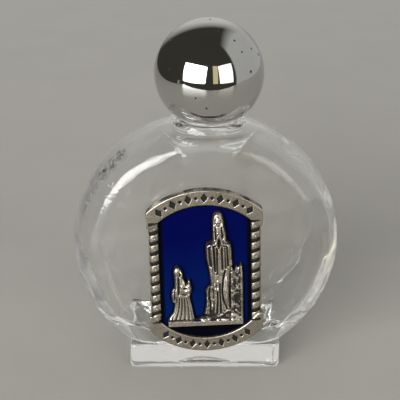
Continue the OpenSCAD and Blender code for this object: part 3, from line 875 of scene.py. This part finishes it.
def averaged(values, reach):
    """Each value of a map averaged with its neighbours up to reach steps away, twice over."""
    for _ in range(2):
        for way in range(2):
            spread_out = [(reach + 1, reach) if k == way else (0, 0) for k in range(2)]
            total = np.cumsum(np.pad(values, spread_out, mode="edge"), axis=way)
            ahead = np.moveaxis(total, way, 0)
            values = np.moveaxis((ahead[2 * reach + 1:] - ahead[:-2 * reach - 1]) / (2 * reach + 1), 0, way)
    return values


def group_map():
    """Heights of the whole group, softened as by casting, and where it is rock."""
    x, t = np.meshgrid(MAP_X, MAP_T, indexing="ij")
    figures = np.maximum(tall_figure(x, t), kneeling_figure(x, t))
    land = ground(x, t)
    heights = np.minimum(averaged(np.maximum(figures, land), 1), GROUP_TOP)
    rocky = averaged(((land > figures) & (t > 1.7)).astype(float), 2)
    return heights, rocky


def group_wash(heights, rocky):
    """Where black wash stays: 0 on ridges, up to 1 in the hollows, and more of it on rock."""
    level = np.maximum(heights, 0)
    wide = np.clip((averaged(level, 7) - level) / 0.3, 0, 1)
    narrow = np.clip((averaged(level, 3) - level) / 0.12, 0, 1)
    return np.clip(0.6 * wide + 0.6 * narrow + 0.36 * rocky, 0, 1)


def looked_up(values, x, t):
    """Values of a map between its points."""
    across = np.clip((x - MAP_X[0]) / MAP_STEP, 0, len(MAP_X) - 1.001)
    along = np.clip((t - MAP_T[0]) / MAP_STEP, 0, len(MAP_T) - 1.001)
    i = across.astype(int)
    j = along.astype(int)
    a = across - i
    b = along - j
    low = values[i, j] * (1 - a) + values[i + 1, j] * a
    high = values[i, j + 1] * (1 - a) + values[i + 1, j + 1] * a
    return low * (1 - b) + high * b


GROUP_HEIGHTS, GROUP_ROCKY = group_map()
GROUP_STEEP = np.sqrt(1 + sum(slope ** 2 for slope in np.gradient(GROUP_HEIGHTS, MAP_STEP)))
GROUP_WASH = group_wash(GROUP_HEIGHTS, GROUP_ROCKY)
# Painted shade: how near the group is, for darkening the enamel round it
GROUP_SHADE_HALO = averaged((GROUP_HEIGHTS > 0).astype(float), 8)


def relief_field(u, v, w):
    """The whole group, cut flat just under the enamel's surface."""
    x = u / GROUP_UNIT
    t = (v - GROUP_V) / GROUP_UNIT
    h = (w - ENAMEL_TOP) / GROUP_UNIT
    above = (h - looked_up(GROUP_HEIGHTS, x, t)) / looked_up(GROUP_STEEP, x, t)
    return np.maximum(above, -h - 0.05) * GROUP_UNIT


def plaque_open(u, v, w):
    """Frame and enamel together, for finding the frame's hollows."""
    return np.minimum(frame_field(u, v, w), enamel_field(u, v, w))


def make_frame():
    """The frame's mesh, with its hollows and inked motifs kept for the metal."""
    axes = [axis((-12.1, 12.1, 0.17)), axis((-0.6, 37.6, 0.17)), axis((0.0, 2.7, 0.13))]
    points, faces, normals = netted(frame_field, axes, 0.12)
    hollow = hollowness(plaque_open, points, normals, (0.15, 0.3, 0.6, 1.1))
    inked = ease(0.08, -0.06, engraving(points[:, 0], points[:, 1]))
    inked = inked * ease(BANNER_TOP - 0.6, BANNER_TOP - 0.45, points[:, 2])
    walls = 0.45 * ease(0.6, 0.2, normals[:, 2])
    x, from_middle = strand_place(points[:, 0], points[:, 1])
    on_column = (np.abs(x) < COLUMN_R + 0.1) & (points[:, 1] > COLUMN_LOW_V) & (points[:, 1] < COLUMN_HIGH_V)
    gaps = np.where(on_column, ease(0.57, 0.68, from_middle), 0)
    made = plaque_mesh("plaque_frame_cast", points, faces, normals)
    store(made, "hollow", np.max([hollow, inked, walls, gaps], axis=0))
    return made


def make_relief():
    """The group's mesh, with its hollows kept for the metal."""
    axes = [axis((-8.3, 8.1, 0.11)), axis((GROUP_V - 0.4, 32.4, 0.11)), axis((1.25, 3.4, 0.1))]
    points, faces, normals = netted(relief_field, axes, 0.06)
    x = points[:, 0] / GROUP_UNIT
    t = (points[:, 1] - GROUP_V) / GROUP_UNIT
    made = plaque_mesh("plaque_relief_cast", points, faces, normals)
    low = ease(ENAMEL_TOP + 0.3, ENAMEL_TOP + 0.05, points[:, 2])
    store(made, "hollow", np.maximum(looked_up(GROUP_WASH, x, t), low))
    return made


def make_enamel():
    """The blue field's mesh. It keeps how near the frame is, and how near the group, for the painted shade on
    the enamel.
    """
    axes = [axis((-10, 10, 0.22)), axis((2.6, 33.9, 0.22)), axis((0.93, 1.83, 0.1))]
    points, faces, normals = netted(enamel_field, axes, 0.1)
    made = plaque_mesh("plaque_enamel_blue", points, faces, normals)
    u = points[:, 0]
    v = points[:, 1]
    # Painted shade along the columns, below the group's base and at the field's edge
    beside = ease(-1.15, -0.55, np.abs(u) - POCKET_HALF_W)
    below = ease(GROUP_V + 0.7, GROUP_V - 0.2, v)
    store(made, "edge", np.max([beside, below, ease(-0.45, -0.1, enamel_panel(u, v))], axis=0))
    near = looked_up(GROUP_SHADE_HALO, u / GROUP_UNIT, (v - GROUP_V) / GROUP_UNIT)
    store(made, "hollow", ease(0.03, 0.4, near))
    return made


def make_pad():
    """The adhesive pad's mesh."""
    axes = [axis((-11, 11, 0.4)), axis((0.2, 37, 0.4)), axis((-0.25, 0.8, 0.1))]
    return plaque_mesh("plaque_adhesive_pad", *netted(pad_field, axes, 0.15))


# Materials
def put(tree, kind, values=None, **settings):
    """Adds a node, sets its plain values and its settings."""
    node = tree.nodes.new(kind)
    for name, value in settings.items():
        setattr(node, name, value)
    for name, value in (values or {}).items():
        node.inputs[name].default_value = value
    return node


def new_material(name, values):
    """A material with a Principled shader, and its tree and shader."""
    material = bpy.data.materials.new(name)
    material.use_nodes = True
    tree = material.node_tree
    shader = tree.nodes["Principled BSDF"]
    for socket, value in values.items():
        shader.inputs[socket].default_value = value
    return material, tree, shader


def new_group(name, inputs, outputs):
    """A shader node group with named inputs and outputs, and its end nodes."""
    tree = bpy.data.node_groups.new(name, "ShaderNodeTree")
    for label, kind, value in inputs:
        socket = tree.interface.new_socket(label, in_out="INPUT", socket_type=kind)
        socket.default_value = value
    for label, kind in outputs:
        tree.interface.new_socket(label, in_out="OUTPUT", socket_type=kind)
    return tree, tree.nodes.new("NodeGroupInput"), tree.nodes.new("NodeGroupOutput")


def noise(tree, scale, detail=3.0, rough_share=0.55, stretch=None):
    """Noise over the surface, in metres, so that scale is features in a metre."""
    place = put(tree, "ShaderNodeTexCoord")
    made = put(tree, "ShaderNodeTexNoise", {"Scale": scale, "Detail": detail, "Roughness": rough_share})
    source = place.outputs["Object"]
    if stretch:
        squeeze = put(tree, "ShaderNodeMapping", {"Scale": stretch})
        tree.links.new(source, squeeze.inputs["Vector"])
        source = squeeze.outputs["Vector"]
    tree.links.new(source, made.inputs["Vector"])
    return made.outputs["Fac"]


def places(tree, kind="Object"):
    """The X, Y and Z of each point of a surface, or of each direction in a room."""
    source = put(tree, "ShaderNodeTexCoord")
    parts = put(tree, "ShaderNodeSeparateXYZ")
    tree.links.new(source.outputs[kind], parts.inputs["Vector"])
    return parts.outputs


def ranged(tree, source, low, high, to_low, to_high):
    """Takes a value from one range to another, held at the ends."""
    made = put(tree, "ShaderNodeMapRange", {
        "From Min": low, "From Max": high, "To Min": to_low, "To Max": to_high})
    tree.links.new(source, made.inputs["Value"])
    return made.outputs["Result"]


def maths(tree, operation, first, second):
    """One sum of two values, each a socket or a number."""
    made = put(tree, "ShaderNodeMath", operation=operation)
    for slot, value in enumerate((first, second)):
        if isinstance(value, (int, float)):
            made.inputs[slot].default_value = value
        else:
            tree.links.new(value, made.inputs[slot])
    return made.outputs["Value"]


def blended(tree, share, first, second):
    """Mixes two colours, each a socket or a plain colour."""
    made = put(tree, "ShaderNodeMix", data_type="RGBA")
    tree.links.new(share, made.inputs["Factor"])
    for label, value in (("A", first), ("B", second)):
        socket = next(s for s in made.inputs if s.name == label and s.type == "RGBA")
        if isinstance(value, tuple):
            socket.default_value = value + (1.0,)
        else:
            tree.links.new(value, socket)
    return next(s for s in made.outputs if s.type == "RGBA")


def bumped(tree, shader, height, distance, strength):
    """Feeds a height to the shader's normal."""
    made = put(tree, "ShaderNodeBump", {"Distance": distance, "Strength": strength})
    tree.links.new(height, made.inputs["Height"])
    tree.links.new(made.outputs["Normal"], shader.inputs["Normal"])


def handling_group():
    """Marks of handling on a polished surface: hairlines, specks and dull smears."""
    tree, start, end = new_group(
        "handling_marks",
        [("Speck Size", "NodeSocketFloat", 900.0), ("Speck Share", "NodeSocketFloat", 0.1)],
        [("Smear", "NodeSocketFloat"), ("Hairline", "NodeSocketFloat"), ("Speck", "NodeSocketFloat")])
    smear = ranged(tree, noise(tree, 90, 4), 0.42, 0.72, 0, 1)
    tree.links.new(smear, end.inputs["Smear"])
    lines = noise(tree, 60, 5, 0.7, (1, 1, 22))
    crossing = noise(tree, 60, 5, 0.7, (20, 1.5, 1))
    upright = ranged(tree, lines, 0.63, 0.7, 0, 1)
    fine = maths(tree, "MAXIMUM", upright, ranged(tree, crossing, 0.64, 0.71, 0, 1))
    tree.links.new(fine, end.inputs["Hairline"])
    place = put(tree, "ShaderNodeTexCoord")
    cells = put(tree, "ShaderNodeTexVoronoi", {"Randomness": 1.0})
    tree.links.new(place.outputs["Object"], cells.inputs["Vector"])
    tree.links.new(start.outputs["Speck Size"], cells.inputs["Scale"])
    chosen = put(tree, "ShaderNodeSeparateColor")
    tree.links.new(cells.outputs["Color"], chosen.inputs["Color"])
    kept = maths(tree, "LESS_THAN", chosen.outputs["Red"], start.outputs["Speck Share"])
    near = ranged(tree, cells.outputs["Distance"], 0.1, 0.28, 1, 0)
    tree.links.new(maths(tree, "MULTIPLY", kept, near), end.inputs["Speck"])
    return tree


def antiquing_group():
    """Cast metal with black wash left in its hollows and rubbed off its ridges."""
    tree, start, end = new_group(
        "antiquing",
        [("Metal", "NodeSocketColor", (0.6, 0.57, 0.52, 1)),
         ("Wash", "NodeSocketColor", (0.02, 0.018, 0.016, 1)),
         ("Hollow", "NodeSocketFloat", 0.0),
         ("Clean", "NodeSocketFloat", 0.3),
         ("Black", "NodeSocketFloat", 0.6)],
        [("Color", "NodeSocketColor"), ("Roughness", "NodeSocketFloat"), ("Metallic", "NodeSocketFloat"),
         ("Height", "NodeSocketFloat")])
    grain = noise(tree, 3200, 4, 0.6)
    cloud = noise(tree, 420, 3, 0.55)
    patchy = ranged(tree, cloud, 0.3, 0.7, -0.16, 0.16)
    uneven = maths(tree, "ADD", patchy, ranged(tree, grain, 0.3, 0.7, -0.14, 0.14))
    depth = maths(tree, "ADD", start.outputs["Hollow"], uneven)
    washed = put(tree, "ShaderNodeMapRange", interpolation_type="SMOOTHSTEP")
    tree.links.new(depth, washed.inputs["Value"])
    tree.links.new(start.outputs["Clean"], washed.inputs["From Min"])
    tree.links.new(start.outputs["Black"], washed.inputs["From Max"])
    share = washed.outputs["Result"]
    tint = blended(tree, ranged(tree, cloud, 0.35, 0.7, 0, 0.5), start.outputs["Metal"], (0.34, 0.3, 0.25))
    tree.links.new(blended(tree, share, tint, start.outputs["Wash"]), end.inputs["Color"])
    grainy = ranged(tree, grain, 0.3, 0.7, -0.07, 0.07)
    dull = maths(tree, "ADD", ranged(tree, share, 0, 1, 0.3, 0.7), grainy)
    tree.links.new(dull, end.inputs["Roughness"])
    tree.links.new(ranged(tree, share, 0.3, 1, 1, 0.25), end.inputs["Metallic"])
    tree.links.new(maths(tree, "ADD", grain, maths(tree, "MULTIPLY", cloud, 0.8)), end.inputs["Height"])
    return tree


def spot_group():
    """A round spot: 1 at its middle, falling to 0 at its reach."""
    tree, start, end = new_group(
        "spot",
        [("Middle", "NodeSocketVector", (0, 0, 0)), ("Reach", "NodeSocketFloat", 0.001)],
        [("Near", "NodeSocketFloat")])
    place = put(tree, "ShaderNodeTexCoord")
    away = put(tree, "ShaderNodeVectorMath", operation="DISTANCE")
    tree.links.new(place.outputs["Object"], away.inputs[0])
    tree.links.new(start.outputs["Middle"], away.inputs[1])
    core = maths(tree, "MULTIPLY", start.outputs["Reach"], 0.3)
    fade = put(tree, "ShaderNodeMapRange", {"To Min": 1.0, "To Max": 0.0})
    tree.links.new(away.outputs["Value"], fade.inputs["Value"])
    tree.links.new(core, fade.inputs["From Min"])
    tree.links.new(start.outputs["Reach"], fade.inputs["From Max"])
    tree.links.new(fade.outputs["Result"], end.inputs["Near"])
    return tree


def place_group(tree, group, values):
    """Puts a node group in a material, with its own values."""
    return put(tree, "ShaderNodeGroup", values, node_tree=group)


def near_spots(tree, spot, middles, reach):
    """How near the nearest of some spots is. Their middles and their reach are in millimetres."""
    found = None
    for middle in middles:
        values = {"Middle": [c * MM for c in middle], "Reach": reach * MM}
        near = place_group(tree, spot, values).outputs["Near"]
        found = near if found is None else maths(tree, "MAXIMUM", found, near)
    return found


def clear_glass(handling, spot):
    """Clear moulded glass with a few scuffs and specks, and painted light where rays are lost inside it."""
    material, tree, shader = new_material("clear_glass", {
        "Transmission Weight": 1.0, "IOR": 1.5, "Metallic": 0.0, "Emission Strength": 1.0})
    marks = place_group(tree, handling, {"Speck Size": 420.0, "Speck Share": 0.05})
    scuff = maths(tree, "MULTIPLY", marks.outputs["Smear"], marks.outputs["Hairline"])
    rubbed = ranged(tree, scuff, 0, 1, 0.0, 0.22)
    dull = maths(tree, "ADD", rubbed, ranged(tree, marks.outputs["Speck"], 0, 1, 0, 0.25))
    grit = ranged(tree, noise(tree, 1300, 3, 0.7), 0.45, 0.53, 0, 1)
    worn = maths(tree, "MULTIPLY", grit, near_spots(tree, spot, SCUFFS, SCUFF_REACH))
    dull = maths(tree, "ADD", dull, maths(tree, "MULTIPLY", worn, 0.3))
    tree.links.new(dull, shader.inputs["Roughness"])
    tint = blended(tree, worn, (0.985, 0.99, 0.985), (0.06, 0.06, 0.055))
    tree.links.new(tint, shader.inputs["Base Color"])
    # Slow unevenness all over, and finer ripples from the mould on both shoulders
    fine = noise(tree, 420, 2, 0.5, (1, 1, 1.6))
    rippled = maths(tree, "MULTIPLY", fine, near_spots(tree, spot, RIPPLES, RIPPLE_REACH))
    uneven = maths(tree, "ADD", noise(tree, 130, 2, 0.4), maths(tree, "MULTIPLY", rippled, 5))
    bumped(tree, shader, uneven, 0.0004, 0.12)
    # Painted light: where a ray has been mirrored inside the glass more often than a render follows, the
    # glass glows with grey streaks of its own, weaker towards the left window, and with a warm painted glow
    # low on the right where the rim gathers light
    path = put(tree, "ShaderNodeLightPath")
    lost = maths(tree, "GREATER_THAN", path.outputs["Glossy Depth"], 3.5)
    away_from_window = ranged(tree, places(tree)["X"], -0.02, 0.015, 0.3, 1)
    painted_streaks = ranged(tree, noise(tree, 240, 3, 0.6), 0.38, 0.62, 0, 1)
    painted_streaks = maths(tree, "MULTIPLY", painted_streaks, away_from_window)
    painted_glow = blended(tree, painted_streaks, (0.11, 0.108, 0.103), (0.4, 0.392, 0.365))
    glow = near_spots(tree, spot, PAINTED_GLOWS, PAINTED_GLOW_REACH)
    painted_glow = blended(tree, glow, painted_glow, (0.66, 0.64, 0.5))
    tree.links.new(blended(tree, lost, (0.0, 0.0, 0.0), painted_glow), shader.inputs["Emission Color"])
    return material


def chrome(handling, spot):
    """Bright plating over a moulded ball, with pits, hairlines and dull smears."""
    material, tree, shader = new_material("chrome_plate", {"Metallic": 1.0})
    marks = place_group(tree, handling, {"Speck Size": 640.0, "Speck Share": 0.08})
    pits = maths(tree, "MAXIMUM", marks.outputs["Speck"], near_spots(tree, spot, PITS, PIT_REACH))
    plate = blended(tree, marks.outputs["Smear"], (0.66, 0.66, 0.645), (0.61, 0.605, 0.59))
    tree.links.new(blended(tree, pits, plate, (0.03, 0.028, 0.025)), shader.inputs["Base Color"])
    dull = maths(tree, "ADD", ranged(tree, marks.outputs["Smear"], 0, 1, 0.03, 0.06),
                 ranged(tree, marks.outputs["Hairline"], 0, 1, 0, 0.06))
    tree.links.new(maths(tree, "ADD", dull, ranged(tree, pits, 0, 1, 0, 0.4)), shader.inputs["Roughness"])
    height = maths(tree, "SUBTRACT", maths(tree, "MULTIPLY", noise(tree, 160, 2, 0.5), 0.6), pits)
    bumped(tree, shader, height, 0.00008, 0.35)
    return material


def pewter(name, antiquing, metal, clean, black):
    """Antiqued cast pewter, brighter or darker by where its wash begins and ends."""
    material, tree, shader = new_material(name, {"Specular IOR Level": 0.12})
    cast = place_group(tree, antiquing, {"Metal": metal, "Clean": clean, "Black": black})
    depth = put(tree, "ShaderNodeAttribute", attribute_name="hollow")
    tree.links.new(depth.outputs["Fac"], cast.inputs["Hollow"])
    tree.links.new(cast.outputs["Color"], shader.inputs["Base Color"])
    tree.links.new(cast.outputs["Roughness"], shader.inputs["Roughness"])
    tree.links.new(cast.outputs["Metallic"], shader.inputs["Metallic"])
    bumped(tree, shader, cast.outputs["Height"], 0.00006, 0.5)
    return material


def blue_enamel(handling):
    """Deep blue enamel, lighter low in the middle, with painted shade that makes it nearly black against the
    metal and round the group.
    """
    material, tree, shader = new_material("blue_enamel", {
        "Metallic": 0.0, "Specular IOR Level": 0.03})
    lower = ranged(tree, places(tree)["Z"], 0.032, 0.014, 0, 1)
    cloud = ranged(tree, noise(tree, 150, 3), 0.3, 0.7, -0.12, 0.12)
    light = maths(tree, "ADD", lower, cloud)
    blue = blended(tree, light, (0.0005, 0.0016, 0.046), (0.0006, 0.0078, 0.066))
    # Painted shade: the enamel is darkened along the frame and round the group
    rim = put(tree, "ShaderNodeAttribute", attribute_name="edge")
    near = put(tree, "ShaderNodeAttribute", attribute_name="hollow")
    dark = maths(tree, "MAXIMUM", rim.outputs["Fac"], near.outputs["Fac"])
    tree.links.new(blended(tree, dark, blue, (0.0012, 0.0012, 0.004)), shader.inputs["Base Color"])
    marks = place_group(tree, handling, {"Speck Size": 900.0, "Speck Share": 0.06})
    tree.links.new(ranged(tree, marks.outputs["Smear"], 0, 1, 0.14, 0.22), shader.inputs["Roughness"])
    bumped(tree, shader, noise(tree, 500, 2), 0.00005, 0.25)
    return material


def plastic(name, colour, shade, handling, dull):
    """Plain moulded plastic with faint flow marks."""
    material, tree, shader = new_material(name, {"Metallic": 0.0})
    marks = place_group(tree, handling, {"Speck Size": 700.0, "Speck Share": 0.08})
    share = maths(tree, "MULTIPLY", noise(tree, 260, 4), 0.7)
    worn = maths(tree, "ADD", share, maths(tree, "MULTIPLY", marks.outputs["Speck"], 0.3))
    tree.links.new(blended(tree, worn, colour, shade), shader.inputs["Base Color"])
    tree.links.new(ranged(tree, marks.outputs["Smear"], 0, 1, dull, dull + 0.15), shader.inputs["Roughness"])
    bumped(tree, shader, noise(tree, 1400, 3), 0.00005, 0.3)
    return material


def adhesive():
    """Yellowed pad with paler spots where it hasn't wetted the glass."""
    material, tree, shader = new_material("adhesive", {"Metallic": 0.0})
    wet = ranged(tree, noise(tree, 380, 5, 0.65), 0.45, 0.6, 0, 1)
    tree.links.new(blended(tree, wet, (0.4, 0.36, 0.27), (0.62, 0.58, 0.48)), shader.inputs["Base Color"])
    tree.links.new(ranged(tree, wet, 0, 1, 0.35, 0.6), shader.inputs["Roughness"])
    bumped(tree, shader, noise(tree, 900, 3), 0.00008, 0.4)
    return material


# Pieces on their bodies
handling = handling_group()
antiquing = antiquing_group()
spot = spot_group()
dress(make_glass(), clear_glass(handling, spot), "flask", "glass_flask")
dress(make_ball(), chrome(handling, spot), "cap", "cap_shell")
white_liner = plastic("liner_plastic", (0.72, 0.71, 0.67), (0.6, 0.58, 0.53), handling, 0.4)
dress(make_liner(), white_liner, "cap", "cap_insert")
foam_wad = plastic("seal_foam", (0.62, 0.6, 0.55), (0.45, 0.43, 0.39), handling, 0.6)
dress(make_seal(), foam_wad, "seal", "cap_seal")
dress(make_pad(), adhesive(), "flask", "plaque_adhesive")
frame_metal = pewter("antique_pewter", antiquing, (0.44, 0.405, 0.35, 1), 0.28, 0.6)
dress(make_frame(), frame_metal, "flask", "plaque_frame")
dress(make_enamel(), blue_enamel(handling), "flask", "plaque_enamel")
relief_metal = pewter("bright_pewter", antiquing, (0.57, 0.53, 0.47, 1), 0.2, 0.5)
dress(make_relief(), relief_metal, "flask", "plaque_relief")


# Table, light and camera
def make_table():
    """Pale table top that ends a hand's span in front of the bottle, as the ball shows."""
    left, right, front, back = -0.26, 0.5, -0.2, 1.5
    mesh = bpy.data.meshes.new("table_top")
    corners = [(left, front, 0), (right, front, 0), (right, back, 0), (left, back, 0)]
    mesh.from_pydata(corners, [], [(0, 1, 2, 3)])
    table = bpy.data.objects.new("table_top", mesh)
    bpy.context.scene.collection.objects.link(table)
    material, tree, shader = new_material("pale_table", {"Roughness": 0.2, "Specular IOR Level": 0.14})
    mottle = ranged(tree, noise(tree, 40, 4), 0.3, 0.7, 0, 1)
    pale = blended(tree, mottle, (0.44, 0.428, 0.4), (0.46, 0.448, 0.418))
    tree.links.new(pale, shader.inputs["Base Color"])
    mesh.materials.append(material)


def make_room():
    """Room that is dark in front where metal mirrors it, and pale where it is seen through the glass."""
    world = bpy.data.worlds.new("studio")
    bpy.context.scene.world = world
    world.use_nodes = True
    tree = world.node_tree
    background = tree.nodes["Background"]
    parts = places(tree, "Generated")
    x, y, z = [parts[name] for name in "XYZ"]
    far_and_high = maths(tree, "ADD", y, maths(tree, "MULTIPLY", z, 0.385))
    behind = ranged(tree, far_and_high, 0.86, 1.05, 0, 1)
    beyond = maths(tree, "ADD", maths(tree, "MULTIPLY", x, 0.588), maths(tree, "MULTIPLY", y, 0.809))
    at_side = ranged(tree, x, 0.3, 0.55, 0, 1)
    side_wall = maths(tree, "MULTIPLY", ranged(tree, beyond, 0, 0.06, 0, 1), at_side)
    front = blended(tree, side_wall, (0.045, 0.042, 0.034), (0.47, 0.47, 0.46))
    mirrored = blended(tree, behind, front, (0.64, 0.64, 0.62))
    high = ranged(tree, z, 0.1, 0.4, 0, 1)
    seen = blended(tree, high, (0.36, 0.352, 0.335), (0.62, 0.61, 0.59))
    right = ranged(tree, x, 0.7, 0.9, 0, 1)
    seen = blended(tree, right, seen, (0.9, 0.89, 0.85))
    path = put(tree, "ShaderNodeLightPath")
    through = path.outputs["Is Transmission Ray"]
    bounced = maths(tree, "SUBTRACT", path.outputs["Is Glossy Ray"], through)
    around = blended(tree, through, (0.3, 0.295, 0.285), seen)
    tree.links.new(blended(tree, bounced, around, mirrored), background.inputs["Color"])


def way_out(azimuth, elevation):
    """Direction away from the bottle, from angles in degrees. Azimuth is from the front, towards +X."""
    a = math.radians(azimuth)
    e = math.radians(elevation)
    return Vector((math.sin(a) * math.cos(e), -math.cos(a) * math.cos(e), math.sin(e)))


def soft_box(name, azimuth, elevation, distance, width, height, power, colour):
    """Square-cornered lamp that faces the bottle."""
    way = way_out(azimuth, elevation)
    data = bpy.data.lights.new(name, "AREA")
    data.shape = "RECTANGLE"
    data.size = width
    data.size_y = height
    data.energy = power
    data.color = colour
    lamp = bpy.data.objects.new(name, data)
    lamp.location = Vector((0, 0, 0.04)) + way * distance
    lamp.rotation_euler = way.to_track_quat("Z", "Y").to_euler()
    bpy.context.scene.collection.objects.link(lamp)
    return lamp


def make_camera():
    """Camera at the photograph's angle, tilted a little about its own axis."""
    back = way_out(-2.254, 24.168)
    roll = math.radians(1.066)
    distance = 0.269924
    target = Vector((-0.001322, 0, 0.034775))
    right = (-back).cross(Vector((0, 0, 1))).normalized()
    up = right.cross(-back)
    side = right * math.cos(roll) + up * math.sin(roll)
    top = up * math.cos(roll) - right * math.sin(roll)
    data = bpy.data.cameras.new("camera")
    data.sensor_width = 36
    data.lens = 117.23
    data.clip_start = 0.01
    data.clip_end = 10
    camera = bpy.data.objects.new("camera", data)
    camera.matrix_world = Matrix((side, top, back)).transposed().to_4x4()
    camera.location = target + back * distance
    bpy.context.scene.collection.objects.link(camera)
    bpy.context.scene.camera = camera


make_table()
make_room()
for name, azimuth, width, power, colour in WINDOWS:
    soft_box(name, azimuth, WINDOW_ELEVATION, WINDOW_DISTANCE, width, WINDOW_H, power, colour)
overhead = soft_box("overhead", 0, 86, 2.0, 2.0, 2.0, 4, (1.0, 0.99, 0.97))
overhead.visible_glossy = False
make_camera()
bpy.context.scene.view_settings.view_transform = "Standard"
